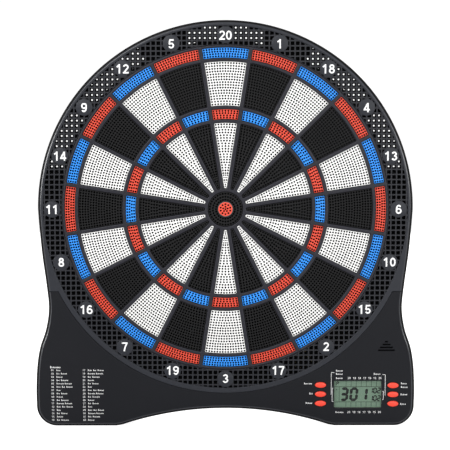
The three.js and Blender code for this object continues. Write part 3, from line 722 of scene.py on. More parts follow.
def catch_cells():
    """Square pockets of the catch band, trimmed by its edges and the number discs."""
    discs = ring_places([(DISC_RING, SECTORS)])
    low, high = CATCH_INNER + CATCH_LIP, CATCH_OUTER - CATCH_CLEAR
    reach = int(CATCH_OUTER / POCKET_PITCH) + 1
    half = POCKET_WIDTH / 2
    near = math.ceil(half * math.sqrt(2))
    cells = []
    for column in range(-reach, reach + 1):
        for row in range(-reach - 1, reach + 1):
            x, z = POCKET_PITCH * column, POCKET_PITCH * row + POCKET_SHIFT
            away = math.hypot(x, z)
            if not low - near < away < high + near:
                continue
            cell = [(x - half, z - half), (x + half, z - half), (x + half, z + half), (x - half, z + half)]
            cell = cut(cut(cell, (x / away, z / away), high), (-x / away, -z / away), -low)
            for dx, dz in discs:
                far = math.hypot(x - dx, z - dz)
                if far < DISC_RADIUS + CATCH_CLEAR + near:
                    way = ((dx - x) / far, (dz - z) / far)
                    cell = cut(cell, way, dx * way[0] + dz * way[1] - DISC_RADIUS - CATCH_CLEAR)
            if len(cell) > 2 and area(cell) > POCKET_LEAST:
                cells.append((x, z, cell))
    return cells


def clean(points, least):
    """Drops corners that lie closer than `least` to the last one kept."""
    kept = []
    for point in points:
        if not kept or math.dist(point, kept[-1]) > least:
            kept.append(point)
    if len(kept) > 1 and math.dist(kept[0], kept[-1]) <= least:
        kept.pop()
    return kept


def catch_pocket(shape, x, z, cell):
    """Cuts a pocket, with its drain hole where the back is open: (mouth loop, drain loop or None)."""
    cell = clean(cell, POCKET_MERGE[0])[::-1]
    if len(cell) < 3:
        return None, None
    cell = clean(round_corners(cell, POCKET_ROUND, 2), POCKET_MERGE[1])
    draft = POCKET_DRAFT if area(cell) < -0.9 * POCKET_WIDTH ** 2 else 0.0
    top, mouth = shape.bands(cell, [(POCKET_EDGE, CATCH_FRONT), (0.0, CATCH_FRONT + POCKET_EDGE)])
    shape.look = 1
    floor = shape.loop(inset(cell, -draft), POCKET_FLOOR)
    shape.bridge(mouth, floor)
    drain = min(DRAIN_RADIUS, cell_room((x, z), cell) - DRAIN_WALL)
    back = None
    if drain > DRAIN_LEAST and math.hypot(x, z) > DRAIN_INNER and not on_hanger(x, z):
        hole = circle(drain, x, z, DRAIN_SIDES)[::-1]
        first, back = shape.bands(hole, [(0.0, POCKET_FLOOR), (0.0, CATCH_BACK)])
        shape.fill(floor, [first])
    else:
        shape.fill(floor)
    shape.look = 0
    return top, back


def catch_band():
    shape = Shape()
    outer = circle(CATCH_OUTER + 0.05)
    inner = circle(CATCH_INNER)[::-1]
    out_front, out_back = shape.bands(outer, [(0.0, CATCH_FRONT), (0.0, CATCH_BACK)])
    in_front, in_back = shape.bands(inner, rounded(CATCH_FRONT, FINE_ROUND) + [(0.0, COLLAR_BACK)])
    collar_foot = shape.loop(inset(inner, COLLAR_THICKNESS), COLLAR_BACK)
    collar_top = shape.loop(inset(inner, COLLAR_THICKNESS), CATCH_BACK)
    shape.bridge(in_back, collar_foot)
    shape.bridge(collar_foot, collar_top)
    tops, backs = [], [collar_top]
    for x, z, cell in catch_cells():
        top, back = catch_pocket(shape, x, z, cell)
        if top:
            tops.append(top)
        if back:
            backs.append(back)
    shape.look = 2
    edge = rounded(HOUSING_FRONT, DISC_ROUND) + [(0.0, CATCH_FRONT)]
    for x, z in ring_places([(DISC_RING, SECTORS)]):
        top, foot = shape.bands(circle(DISC_RADIUS, x, z, DISC_SIDES), edge)
        shape.fill(top)
        tops.append(foot)
    shape.look = 0
    shape.fill(out_front, [in_front] + tops)
    shape.fill(out_back, backs)
    make("catch_band", shape, [CATCH_LOOK, BORE, RIM], "root", soft=False)
    bosses("ring_bosses", ring_places([(BOSS_RING, BOSS_COUNT)]), BOSS_RADIUS, BOSS_PILOT, CATCH_BACK)


def on_hanger(x, z):
    """Whether the cover's hanging lobes close the back of the band here."""
    degrees = abs(math.degrees(math.atan2(x, z)))
    return HANGER_FROM - 0.3 < degrees < HANGER_TO + 0.4


def cell_room(centre, cell):
    """Distance from a point to the nearest side of a clockwise outline, negative outside."""
    rooms = []
    for a, b in zip(cell, cell[1:] + cell[:1]):
        cross = (b[1] - a[1]) * (a[0] - centre[0]) - (b[0] - a[0]) * (a[1] - centre[1])
        rooms.append(-cross / math.dist(a, b))
    return min(rooms)


def console():
    shape = Shape()
    plan, outside = console_plan()
    holes = []
    crisp = [(FINE_ROUND, HOUSING_FRONT), (0.0, HOUSING_FRONT + FINE_ROUND), (0.0, PANEL_BACK)]
    lip = rounded(HOUSING_FRONT, LIP_ROUND) + [(0.0, PANEL_BACK)]
    holes.append(shape.bands(window_box(0, WINDOW_CORNER)[::-1], lip))
    for _, x, z in BUTTONS:
        holes.append(shape.bands(oval(x, z, BUTTON_LENGTH, BUTTON_WIDTH)[::-1], crisp))
    for z, width in GRILLE_ROWS:
        slot = rounded_box(GRILLE_X, z, width, GRILLE_SLOT, GRILLE_SLOT / 2 - 0.01, 5)
        holes.append(shape.bands(slot[::-1], crisp))
    case_shell(shape, plan, outside, holes, 0.0, SKIRT_BACK - 2)
    piece = make("console_front", shape, [HOUSING, FLANK_SHADE, BEVEL], "root")
    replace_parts(piece, "console_panel")
    bosses("console_bosses", CONSOLE_BOSSES, CONSOLE_BOSS_RADIUS, CONSOLE_PILOT, PANEL_BACK)


# ---- console fittings ----

def buttons():
    lip_front = PANEL_BACK + GAP
    for name, x, z in BUTTONS:
        shape = Shape()
        plan = oval(x, z, BUTTON_LENGTH - 2 * GAP, BUTTON_WIDTH - 2 * GAP)
        proud = HOUSING_FRONT - BUTTON_PROUD
        loops = []
        for share, drop in BUTTON_CROWN:
            ring = [(x + (px - x) * share, z + (pz - z) * share) for px, pz in plan]
            loops.append(shape.loop(ring, proud + drop))
        loops.append(shape.loop(plan, lip_front))
        shape.stack(loops)
        shape.fill(loops[0])
        lip = oval(x, z, BUTTON_LENGTH + 2 * BUTTON_LIP - 2 * GAP, BUTTON_WIDTH + 2 * BUTTON_LIP - 2 * GAP)
        front, back = shape.bands(lip, [(0.0, lip_front), (0.0, lip_front + BUTTON_LIP_DEPTH)])
        shape.fill(front, [loops[-1]])
        post = circle(POST_RADIUS, x, z, POST_SIDES)
        post_top, post_foot = [shape.loop(post, depth) for depth in (lip_front + BUTTON_LIP_DEPTH, POST_BACK)]
        shape.fill(back, [post_top])
        shape.bridge(post_top, post_foot)
        shape.fill(post_foot)
        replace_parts(make(name + "_cap", shape, [BUTTON_LOOK], name, sharp=50), name)


def window_box(grow, corner):
    """The display window's outline, made larger all round."""
    return rounded_box(WINDOW_X, WINDOW_Z, WINDOW_WIDTH + grow, WINDOW_HEIGHT + grow, corner)


def lens():
    shape = Shape()
    pane = window_box(-2 * GAP, PANE_CORNER)
    shape.slab(pane, HOUSING_FRONT + PANE_BACK, HOUSING_FRONT + PANE_FRONT, PANE_ROUND)
    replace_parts(make("window_pane", shape, [LENS], "root"), "display_lens")
    gasket = Shape()
    gasket.ring(pane, window_box(GASKET_GROW, GASKET_CORNER), GASKET_BACK, PANEL_BACK + GAP)
    make("window_gasket", gasket, [RUBBER], "root")


# Bars of the display's figures, lettered clockwise from the top, with g in the middle
SEVEN = {"0": "abcdef", "1": "bc", "2": "abged", "3": "abgcd", "P": "abefg", "-": "g"}
# text, x, z, height, pitch
FIGURES = (("301", 128.9, -202.4, 12.4, 10.4), ("102", 158.2, -198.3, 5.4, 4.1),
           ("102", 158.2, -206.8, 5.4, 4.1), ("P", 121.5, -190.3, 3.8, 3.0), ("-", 120.4, -197.4, 3.8, 3.0))
FIGURE_WIDTH, FIGURE_BAR, FIGURE_LEAN, FIGURE_TIP = 0.5, 0.24, 0.09, 0.7
FIGURE_RISE, GRID_RISE = 0.08, 0.04                        # how far the liquid crystal's parts stand out
SCREEN_FRONT = LCD_FRONT - 0.02


def seven_segment(shape, text, x, z, height, pitch):
    """Display digits made of seven bars, leaning slightly as the real ones do."""
    width, short = height * FIGURE_WIDTH, height * FIGURE_BAR / 2
    tip = short * FIGURE_TIP
    places = {"a": (0, height / 2, True), "g": (0, 0, True), "d": (0, -height / 2, True),
              "f": (-width / 2, height / 4, False), "b": (width / 2, height / 4, False),
              "e": (-width / 2, -height / 4, False), "c": (width / 2, -height / 4, False)}
    for i, letter in enumerate(text):
        for key in SEVEN[letter]:
            px, pz, flat = places[key]
            long_ = (width if flat else height / 2) / 2 - short * 0.04
            corners = [(-long_, 0), (-long_ + tip, -short), (long_ - tip, -short), (long_, 0),
                       (long_ - tip, short), (-long_ + tip, short)]
            if not flat:
                corners = [(-b, a) for a, b in corners]
            plan = [(x + pitch * i + px + hx + FIGURE_LEAN * (pz + hz), z + pz + hz) for hx, hz in corners]
            shape.slab(plan, SCREEN_FRONT, SCREEN_FRONT - FIGURE_RISE)


def bar(shape, x0, z0, x1, z1, back, front):
    shape.slab([(x0, z0), (x1, z0), (x1, z1), (x0, z1)], back, front)


# Lines across the display: two level ones, short ones above and below them, and one at the left
GRID_Z, GRID_X, GRID_PITCH, GRID_COUNT, GRID_LEFT = (-194.0, -210.9), 130.8, 5.48, 7, 123.4
GRID_LINE, GRID_MARGIN = 0.5, 0.8


def display():
    screen = Shape()
    screen.slab(window_box(SCREEN_GROW, SCREEN_CORNER), LCD_FRONT, SCREEN_FRONT)
    make("lcd_polariser", screen, [SCREEN], "root")
    digits = Shape()
    for figure in FIGURES:
        seven_segment(digits, *figure)
    make("lcd_digits", digits, [SEGMENT_INK], "root", soft=False)
    grid = Shape()
    back, front, half = SCREEN_FRONT, SCREEN_FRONT - GRID_RISE, GRID_LINE / 2
    width, height = WINDOW_WIDTH / 2 - GRID_MARGIN, WINDOW_HEIGHT / 2 - GRID_MARGIN
    for z in GRID_Z:
        bar(grid, WINDOW_X - width, z - half, WINDOW_X + width, z + half, back, front)
    for i in range(GRID_COUNT):
        x = GRID_X + GRID_PITCH * i
        bar(grid, x - half, GRID_Z[0] + half, x + half, WINDOW_Z + height, back, front)
        bar(grid, x - half, WINDOW_Z - height, x + half, GRID_Z[1] - half, back, front)
    bar(grid, GRID_LEFT - half, GRID_Z[1] + half, GRID_LEFT + half, GRID_Z[0] - half, back, front)
    make("lcd_grid", grid, [SEGMENT_FAINT], "root", soft=False)


def full_bow(*ellipse):
    """A whole ellipse as two pen strokes that overlap a little."""
    return [bow(*ellipse, 0, 190), bow(*ellipse, 180, 370)]


# Pen strokes of the numerals, in units of their height, centred on x = 0 and standing on z = 0
STROKES = {
    "0": full_bow(0, 0.5, 0.24, 0.405),
    "1": [[(0.09, 0.0), (0.09, 1.0)], [(0.07, 0.88), (-0.20, 0.70)]],
    "2": [bow(0, 0.69, 0.235, 0.215, 170, -32) + [(-0.21, 0.1)], [(-0.325, 0.09), (0.325, 0.09)]],
    "3": [bow(-0.01, 0.715, 0.21, 0.19, 165, -95), bow(0, 0.305, 0.24, 0.21, 95, -165)],
    "4": [[(0.13, 0.0), (0.13, 1.0)], [(-0.35, 0.28), (0.34, 0.28)], [(-0.28, 0.28), (0.10, 0.93)]],
    "5": [[(-0.20, 0.91), (0.29, 0.91)], [(-0.15, 0.93), (-0.22, 0.45)],
          bow(0, 0.315, 0.24, 0.225, 150, -160)],
    "6": full_bow(0, 0.32, 0.245, 0.235) + [bow(0.01, 0.5, 0.25, 0.41, 200, 40)],
    "7": [[(-0.32, 0.91), (0.32, 0.91)], [(0.25, 0.88), (0.04, 0.45), (-0.06, 0.0)]],
    "8": full_bow(0, 0.73, 0.195, 0.175) + full_bow(0, 0.30, 0.24, 0.21),
    "9": full_bow(0, 0.68, 0.245, 0.235) + [bow(-0.01, 0.5, 0.25, 0.41, 20, -140)],
}
ADVANCE, NARROWING, WEIGHT, FINE, ONE_SHIFT = 0.76, 0.96, 0.172, 0.13, 0.05


def pen(path, width):
    """The counter-clockwise outline of a pen line along a path."""
    here = np.array(path, float)
    along = np.gradient(here, axis=0)
    along /= np.linalg.norm(along, axis=1)[:, None]
    side = np.stack([-along[:, 1], along[:, 0]], axis=1) * width / 2
    return [tuple(p) for p in here - side] + [tuple(p) for p in (here + side)[::-1]]


def sheet(shape, outlines, back, front, holes=()):
    """One closed plate over the union of overlapping outlines, less the holes."""
    plan, wholes = [], []
    for outline in [*outlines, *holes]:
        wholes.append(list(range(len(plan), len(plan) + len(outline))))
        plan += [Vector(point) for point in outline]
    points, _, triangles, _, _, owners = geometry.delaunay_2d_cdt(plan, [], wholes, 1, 1e-5)
    flat = [(point.x, point.y) for point in points]
    top, foot = shape.loop(flat, front), shape.loop(flat, back)
    border = set()
    for corners, owner in zip(triangles, owners):
        if not owner or max(owner) >= len(outlines):
            continue
        shape.face([top[i] for i in corners])
        shape.face([foot[i] for i in reversed(corners)])
        for edge in zip(corners, corners[1:] + corners[:1]):
            if edge[::-1] in border:
                border.remove(edge[::-1])
            else:
                border.add(edge)
    for a, b in sorted(border):
        shape.face((top[a], top[b], foot[b], foot[a]))


def text_shape(shape, text, x, z, height, weight=FINE):
    """Plain upright numerals drawn with a broad pen, centred on (x, z), as slivers of ink."""
    for i, letter in enumerate(text):
        middle = ADVANCE * (i - (len(text) - 1) / 2) - (ONE_SHIFT if letter == "1" else 0)
        outlines = []
        for path in STROKES[letter]:
            outlines.append([(x + (px + middle) * NARROWING * height, z + (pz - 0.5) * height)
                             for px, pz in pen(path, weight)])
        sheet(shape, outlines, HOUSING_FRONT, HOUSING_FRONT - PRINT)


NUMBER_HEIGHT, NUMBER_SQUASH = 9.8, 0.997


def numbers():
    shape = Shape()
    for i, number in enumerate(NUMBERS):
        x, z = polar(DISC_RING, SECTOR * i)
        text_shape(shape, str(number), x, NUMBER_SQUASH * z, NUMBER_HEIGHT, WEIGHT)
    make("ring_numbers", shape, [INK], "root", soft=False)


# Words are rows of plain blocks: width, gap, height of the first block and of the others
LETTER, LETTER_GAP, CAPITAL, SMALL = 0.68, 0.58, 1.9, 1.15
SHADES = (1.0, 0.75, 0.9, 0.7, 1.0, 0.8)                                      # widths of blocks in turn
HEADING = (-189.0, -172.4, 11.0, 1.15)                                        # x, z, length, size
LIST_TOP, LIST_PITCH, LIST_ROWS, LIST_COLUMNS = -175.6, 3.66, 16, (-186.8, -152.9)
GAME_WORDS = ((4.5,), (3.5, 6.5), (6.5,), (3.5, 8.5), (7.5, 7.5), (4.5, 3.5, 6.5))   # lengths in a row
WORD_START, WORD_SPACE, WORD_SIZE, NUMBER_RISE = 4.4, 1.3, 0.9, 0.8
SMALL_NUMBER, SCALE_NUMBER = 2.0, 2.3
SCALE, SCALE_ROWS = (20, 19, 18, 17, 16, 15, 25), ((0.0, -183.7), (-0.2, -221.3))
SCALE_X = (133.8, 139.4, 144.9, 150.5, 156.0, 161.5, 167.1)
CAPTIONS = ((119.6, -184.6, 8.0), (119.4, -222.2, 8.6), (119.6, -176.4, 7.0), (119.6, -180.0, 7.4),
            (160.4, -180.0, 7.8), (85.2, -190.5, 9.4), (91.0, -201.6, 3.6), (87.0, -212.0, 7.6),
            (190.0, -190.5, 6.2), (190.0, -194.5, 7.4), (189.7, -202.6, 7.4), (189.5, -213.2, 6.2))
# Brackets beside the display: side, x of the outer and the inner line, then the heights of their ends
BRACKET, BRACKET_ARM, BRACKET_STUB = 0.4, 3.2, 1.2
BRACKETS = ((1, 114.4, 115.5, -177.3, -202.0, -194.8, -209.6),
            (-1, 172.8, 170.9, -179.7, -203.2, -198.3, -207.5))


def stroke(shape, x0, z0, x1, z1):
    """A printed rectangle between two corners."""
    bar(shape, min(x0, x1), min(z0, z1), max(x0, x1), max(z0, z1), HOUSING_FRONT, HOUSING_FRONT - PRINT)


def word(shape, x, z, length, size=1.0):
    """A word as a row of plain blocks, standing on z: a tall one and then small ones."""
    step = (LETTER + LETTER_GAP) * size
    for i in range(max(1, round(length / step))):
        tall = (CAPITAL if i == 0 else SMALL * (1.15 if i % 3 == 2 else 1.0)) * size
        width = LETTER * size * SHADES[i % len(SHADES)]
        stroke(shape, x + step * i, z, x + step * i + width, z + tall)


def game_list(shape):
    """Two columns of numbered lines under a heading."""
    word(shape, *HEADING)
    kinds = len(GAME_WORDS)
    for row in range(LIST_ROWS):
        z = LIST_TOP - LIST_PITCH * row
        lines = (GAME_WORDS[row % kinds], GAME_WORDS[kinds - 1 - row % kinds])
        for column, (x, words) in enumerate(zip(LIST_COLUMNS, lines)):
            number = row + 1 + LIST_ROWS * column
            text_shape(shape, f"{number:02d}", x, z + NUMBER_RISE, SMALL_NUMBER)
            at = x + WORD_START
            for length in words:
                word(shape, at, z, length, WORD_SIZE)
                at += length + WORD_SPACE


def console_print():
    shape = Shape()
    game_list(shape)
    half = BRACKET / 2
    for side, outer, inner, top, middle, high, low in BRACKETS:
        stroke(shape, outer - half, top - BRACKET, outer + half, middle)
        stroke(shape, outer - half, top, outer + side * BRACKET_ARM, top - BRACKET)
        stroke(shape, inner - half, high, inner + half, low)
        for z in (high, low):
            stroke(shape, inner - side * half, z + half, inner + side * BRACKET_STUB, z - half)
    for x, number in zip(SCALE_X, SCALE):
        for shift, z in SCALE_ROWS:
            text_shape(shape, str(number), x + shift, z, SCALE_NUMBER)
    for x, z, length in CAPTIONS:
        word(shape, x, z, length)
    make("console_legend", shape, [INK], "root", soft=False)


# ---- rear and works ----

def soften(piece, width, degrees):
    """Slightly rounds a piece's edges that turn by more than some degrees."""
    rounding = piece.modifiers.new("edges", "BEVEL")
    rounding.width = width * MM
    rounding.segments = 2
    rounding.limit_method = "ANGLE"
    rounding.angle_limit = math.radians(degrees)


def carried(node, material, edge=0.0):
    """Gives a CAD node its finish, with slightly rounded edges."""
    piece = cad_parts[node]
    piece.data.materials.clear()
    piece.data.materials.append(material)
    if edge:
        soften(piece, edge, 40)


def screw(shape, x, z, seat):
    """A pan-head screw with a cross recess, seen from behind."""
    head = circle(HEAD_RADIUS, x, z, HEAD_SIDES)
    loops = [shape.loop([(x + (px - x) * share, z + (pz - z) * share) for px, pz in head], seat + rise)
             for share, rise in HEAD_PROFILE]
    rim, crown = shape.stack(loops)
    arm, half = RECESS_ARM, RECESS_HALF
    cross = [(half, half), (half, arm), (-half, arm), (-half, half), (-arm, half), (-arm, -half)]
    cross += [(-px, -pz) for px, pz in cross]
    top, floor = [shape.loop([(x + px * share, z + pz * share) for px, pz in cross], seat + rise)
                  for share, rise in ((1.0, HEAD_PROFILE[-1][1]), (RECESS_TAPER, RECESS_FLOOR))]
    shape.fill(crown, [top])
    shape.bridge(top, floor)
    shape.fill(floor)
    shape.fill(rim)


def stadium(x, low, high, radius, steps=14):
    """An upright slot with round ends."""
    return bow(x, high, radius, radius, 0, 180, steps) + bow(x, low, radius, radius, 180, 360, steps)


def arc_strip(inner, outer, start, end):
    """Part of a flat ring between two directions, counter-clockwise."""
    steps = max(2, round(math.radians(end - start) * outer / COVER_ARC))
    there = [polar(outer, end + (start - end) * i / steps) for i in range(steps + 1)]
    back = [polar(inner, start + (end - start) * i / steps) for i in range(steps + 1)]
    return there + back


def spoke_strip(degrees, start, end, width):
    """A straight strip that points away from the bull."""
    (ax, az), near, far = polar(width / 2, degrees + 90), polar(start, degrees), polar(end, degrees)
    return [(x + way * ax, z + way * az) for (x, z), way in ((near, -1), (near, 1), (far, 1), (far, -1))]


def cover_screws():
    return ring_places([(BOSS_RING, BOSS_COUNT)]) + list(CONSOLE_BOSSES)


def cover_outlines():
    """The overlapping shapes that make up the rear cover's plate."""
    right = case_right()
    outline = inset((mirrored(right[1:-1]) + right)[::-1], WALL + GAP).tolist()
    lower = cut(outline, (0, 1), COVER_FULL_BELOW)
    outlines = [lower, circle(COVER_RADIUS)]
    for side in (-1, 1):
        start, end = sorted((side * HANGER_FROM, side * HANGER_TO))
        outlines.append(arc_strip(COVER_RADIUS - LOBE_OVERLAP, HANGER_REACH, start, end))
    outlines += [circle(BOSS_EAR, x, z, EAR_SIDES) for x, z in cover_screws()[:BOSS_COUNT]]
    return outlines


def keyhole(side):
    """The hole for a screw's head and the slot for its neck, as one counter-clockwise outline."""
    x, high = side * HANGER_X, HANGER_Z + HANGER_RISE
    join = math.degrees(math.acos(HANGER_SLOT / HANGER_HOLE))
    bowl = bow(x, HANGER_Z, HANGER_HOLE, HANGER_HOLE, join, -180 - join, 24)
    return (bowl + bow(x, high, HANGER_SLOT, HANGER_SLOT, 180, 0, 10))[::-1]


def battery_box(grow=0.0, corner=BOX_CORNER):
    """The battery compartment's outline, made larger all round."""
    return rounded_box(BATTERY_X, BATTERY_Z, BATTERY_WIDTH + grow, BATTERY_HEIGHT + grow, corner)


def cover_panels():
    """Outlines of the shallow textured panels, the grooves behind the speaker and the thumb notch."""
    thumb_z = BATTERY_Z - BATTERY_HEIGHT / 2 - THUMB_BELOW
    pockets = [battery_box(DOOR_MARGIN, DOOR_CORNER),
               rounded_box(BATTERY_X, thumb_z, THUMB_WIDTH, THUMB_HEIGHT, THUMB_CORNER)]
    half = 180 / RIB_SPOKES
    for inner, outer in PANEL_RINGS:
        far = half - math.degrees(PANEL_RIB / 2 / outer)
        near = half - math.degrees(math.asin(PANEL_RIB / 2 / inner))
        steps = max(3, round(math.radians(2 * half) * outer / COVER_ARC))
        shares = [1 - 2 * k / steps for k in range(steps + 1)]
        for i in range(RIB_SPOKES):
            middle = 360 * i / RIB_SPOKES
            plan = [polar(outer, middle + far * share) for share in shares]
            plan += [polar(inner, middle - near * share) for share in shares]
            pockets.append(round_corners(plan, PANEL_CORNER))
    pockets += [rounded_box(*panel, PANEL_CORNER) for panel in PANELS]
    for row in range(LOUVRE_COUNT):
        z = GRILLE_Z + LOUVRE_PITCH * (row - (LOUVRE_COUNT - 1) / 2)
        pockets.append(rounded_box(LOUVRE_X, z, LOUVRE_WIDTH, LOUVRE_HEIGHT, LOUVRE_HEIGHT / 2 - 0.02, 5))
    return pockets


def cover_plate():
    """The cover's plate in two layers: the outer one is open at the panels and the screw heads."""
    shape = Shape()
    outlines = cover_outlines()
    through = [battery_box(), keyhole(-1), keyhole(1)]
    heads = [circle(SCREW_POCKET, x, z, SOCKET_SIDES) for x, z in cover_screws()]
    necks = [circle(SCREW_NECK, x, z, NECK_SIDES) for x, z in cover_screws()]
    sheet(shape, outlines, 0.0, -PANEL_DEPTH, through + cover_panels() + heads)
    shape.look = 1
    sheet(shape, outlines, -PANEL_DEPTH, PLATE_FRONT, through + necks)
    piece = make("cover_plate", shape, [REAR, REAR_GRAIN], "root", soft=False)
    soften(piece, COVER_EDGE, 50)
    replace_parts(piece, "rear_cover")


def cover_walls():
    """The round wall, the ribs, the keyhole wells and the battery box on the plate's inside."""
    walls = Shape()
    walls.ring(circle(COVER_WALL_INNER), circle(COVER_WALL_OUTER), PLATE_FRONT, PORT_BACK)
    open_from, open_to = PORT_ANGLE - PORT_HALF, PORT_ANGLE + PORT_HALF
    front_wall = arc_strip(COVER_WALL_INNER, COVER_WALL_OUTER, open_to, open_from + 360)
    walls.slab(front_wall, PORT_BACK, COVER_WALL_FRONT)
    strips = [arc_strip(radius, radius + RIB_WALL, start, start + 182)      # halves that overlap
              for radius in RIB_RINGS for start in (0, 180)]
    for i in range(RIB_SPOKES):
        degrees = 360 * (i + 0.5) / RIB_SPOKES
        strips.append(spoke_strip(degrees, RIB_RINGS[0] + 1, COVER_WALL_INNER + RIB_OVERLAP, RIB_WALL))
    sheet(walls, strips, PLATE_FRONT, SUPPORT_FRONT)
    for side in (-1, 1):
        inner, outer = [stadium(side * HANGER_X, HANGER_Z, HANGER_Z + HANGER_RISE, radius)
                        for radius in (WELL_RADIUS, WELL_RADIUS + WELL_WALL)]
        walls.ring(inner, outer, PLATE_FRONT, WELL_FLOOR)
        walls.slab(outer, WELL_FLOOR, WELL_FRONT)
    outer = battery_box(2 * BATTERY_WALL)
    walls.ring(battery_box(), outer, PLATE_FRONT, BATTERY_FLOOR)
    walls.slab(outer, BATTERY_FLOOR, BATTERY_FLOOR - BATTERY_WALL)
    make("cover_walls", walls, [REAR], "root", soft=False)


def around(shape, x, z, radius, sides):
    """A loop round a cell's axis, which runs along x."""
    ring = circle(radius, CELL_AXIS, z, sides)
    return shape.loop([(x, pz) for _, pz in ring], [depth for depth, _ in ring])


def turned(shape, loops, looks=None):
    """Walls through a row of loops, closed at both ends; looks has a number for each wall."""
    for i, (a, b) in enumerate(zip(loops, loops[1:])):
        shape.look = looks[i] if looks else 0
        shape.bridge(a, b)
    shape.look = looks[-1] if looks else 0
    shape.face(loops[0])
    shape.face(loops[-1])


def spring(shape, start, end, z):
    """A tapering coil of wire from a contact plate to a cell's flat end."""
    count, loops = SPRING_SIDES * SPRING_TURNS, []
    wire = [2 * math.pi * k / WIRE_SIDES for k in range(WIRE_SIDES)]
    for i in range(count + 1):
        turn = 2 * math.pi * i / SPRING_SIDES
        middle = SPRING_WIDE + (SPRING_NARROW - SPRING_WIDE) * i / count
        x = start + (end - start) * i / count
        reach = [middle + SPRING_WIRE * math.cos(w) for w in wire]
        plan = [(x + SPRING_WIRE * math.sin(w), z + r * math.sin(turn)) for w, r in zip(wire, reach)]
        loops.append(shape.loop(plan, [CELL_AXIS + r * math.cos(turn) for r in reach]))
    turned(shape, loops)


def battery_cells():
    """Three cells side by side, head to tail, between sprung contact plates."""
    x = BATTERY_X
    cells, contacts = Shape(), Shape()
    for i, flip in enumerate((1, -1, 1)):
        z = BATTERY_Z + CELL_STEP * (i - 1)
        loops = [around(cells, x + flip * along, z, radius, CELL_SIDES) for along, radius, _ in CELL_PROFILE]
        turned(cells, loops, [look for _, _, look in CELL_PROFILE])
        spring(contacts, x - flip * SPRING_FOOT, x - flip * (CELL_END + SPRING_WIRE), z)
        for side in (-1, 1):
            turned(contacts, [around(contacts, x + side * out, z, PLATE_HALF, PLATE_SIDES)
                              for out in (PLATE_OUT, PLATE_OUT - PLATE_THICK)])
        turned(contacts, [around(contacts, x + flip * out, z, radius, KNOB_SIDES) for out, radius in KNOB])
    piece = make("cells", cells, [SLEEVE, BAND, STEEL], "root", soft=False)
    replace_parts(piece, "battery_cells")
    make("cell_contacts", contacts, [STEEL], "root", soft=False)


def rear():
    cover_plate()
    cover_walls()
    battery_cells()
    carried("battery_door", REAR_GRAIN, DOOR_EDGE)
    shape = Shape()
    for x, z in cover_screws():
        screw(shape, x, z, -PANEL_DEPTH)
    make("cover_screws", shape, [STEEL], "root")


def works():
    for node, material in (("switch_membrane", FILM), ("return_mat", RUBBER), ("lcd_module", METAL),
                           ("circuit_board", CIRCUIT)):
        carried(node, material)
    carried("speaker", METAL, SPEAKER_EDGE)
    # Near-black disc behind the grille's slots: painted shade that darkens them
    shade_disc = Shape()
    disc = circle(SHADE_DISC_RADIUS, GRILLE_X, GRILLE_Z, SHADE_DISC_SIDES)
    shade_disc.slab(disc, PANEL_BACK + SHADE_DISC_BACK, PANEL_BACK + SHADE_DISC_FRONT)
    make("speaker_shade_disc", shade_disc, [BORE], "root", soft=False)


# ---- scene ----

# name, place, point it shines at, size and power, in metres and watts
LIGHTS = (
    ("key", (-1.0, -2.3, 1.2), (0, 0, 0), 1.5, 42),
    ("fill", (1.1, -2.2, 0.4), (0, 0, 0), 1.5, 19),
    ("side_left", (-2.1, -1.4, 0.3), (0, 0, 0), 0.7, 18),
    ("side_right", (2.1, -1.4, 0.3), (0, 0, 0), 0.7, 9),
    ("overhead", (0, 0.2, 2.4), (0, 0.2, 0), 3.0, 22),
    ("rear_left", (1.3, 2.1, 1.3), (0, 0, 0), 1.5, 42),
    ("rear_right", (-1.5, 2.0, 0.5), (0, 0, 0), 1.5, 22),
)
AMBIENT, BACKDROP = 0.2, 1.05        # the world's strength, and how bright the camera sees it
FLOOR_TONE, FLOOR_GLOW, FLOOR_REACH, FLOOR_GAP = 0.6, 0.9, 1.6, 0.0002
LENS_LENGTH, SENSOR_WIDTH = 120.1, 36.0
CAMERA_PLACE, CAMERA_AIM = (-0.00705, -1.6156, 0.1819), (-0.0005, -0.026, -0.0168)


def look_at(thing, place, target):
    thing.location = place
    thing.rotation_euler = (Vector(target) - Vector(place)).to_track_quat("-Z", "Y").to_euler()
    bpy.context.scene.collection.objects.link(thing)


def area_light(name, place, target, size, power):
    data = bpy.data.lights.new(name, "AREA")
    data.size = size
    data.energy = power
    look_at(bpy.data.objects.new(name, data), place, target)


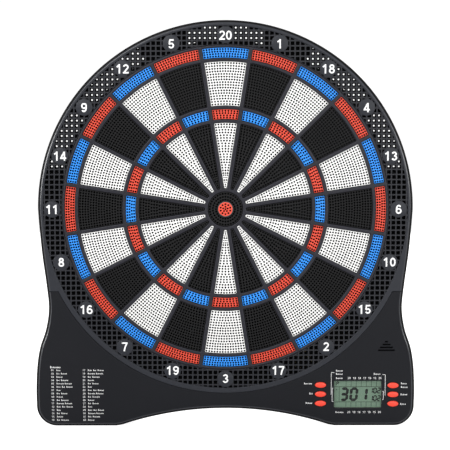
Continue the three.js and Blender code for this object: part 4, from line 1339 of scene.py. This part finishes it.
def surroundings(scene):
    """A plain white world that looks brighter than it shines."""
    world = scene.world or bpy.data.worlds.new("studio")
    scene.world = world
    world.use_nodes = True
    tree = world.node_tree
    backdrop = tree.nodes["Background"]
    backdrop.inputs["Color"].default_value = (1, 1, 1, 1)
    strength = add(tree, "MapRange", To_Min=AMBIENT, To_Max=BACKDROP)
    tree.links.new(add(tree, "LightPath").outputs["Is Camera Ray"], strength.inputs["Value"])
    tree.links.new(strength.outputs["Result"], backdrop.inputs["Strength"])


def floor_paint():
    """Pale paint that the camera sees nearly white."""
    tone = (FLOOR_TONE,) * 3
    paint = moulded("floor_paint", tone, 0.9, grain=200, bump=0.02, variation=0.01, patches=1.0)
    tree = paint.node_tree
    glow = tree.nodes["Principled BSDF"]
    glow.inputs["Emission Color"].default_value = (1, 1, 1, 1)
    lift = add(tree, "Math")
    lift.operation = "MULTIPLY"
    lift.inputs[1].default_value = FLOOR_GLOW
    tree.links.new(add(tree, "LightPath").outputs["Is Camera Ray"], lift.inputs[0])
    tree.links.new(lift.outputs["Value"], glow.inputs["Emission Strength"])
    return paint


def studio():
    scene = bpy.context.scene
    scene.view_settings.view_transform = "Standard"
    surroundings(scene)
    mesh = bpy.data.meshes.new("floor")
    low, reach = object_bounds()[0][2] - FLOOR_GAP, FLOOR_REACH
    corners = [(-reach, -reach, low), (reach, -reach, low), (reach, reach, low), (-reach, reach, low)]
    mesh.from_pydata(corners, [], [(0, 1, 2, 3)])
    mesh.materials.append(floor_paint())
    plane = bpy.data.objects.new("floor", mesh)
    scene.collection.objects.link(plane)
    plane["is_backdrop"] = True
    for light in LIGHTS:
        area_light(*light)
    data = bpy.data.cameras.new("camera")
    data.lens = LENS_LENGTH
    data.sensor_width = SENSOR_WIDTH
    camera = bpy.data.objects.new("camera", data)
    look_at(camera, CAMERA_PLACE, CAMERA_AIM)
    scene.camera = camera


scoring_beds()
bulls()
spider()
ring_frame()
catch_band()
console()
buttons()
lens()
display()
numbers()
console_print()
rear()
works()
studio()
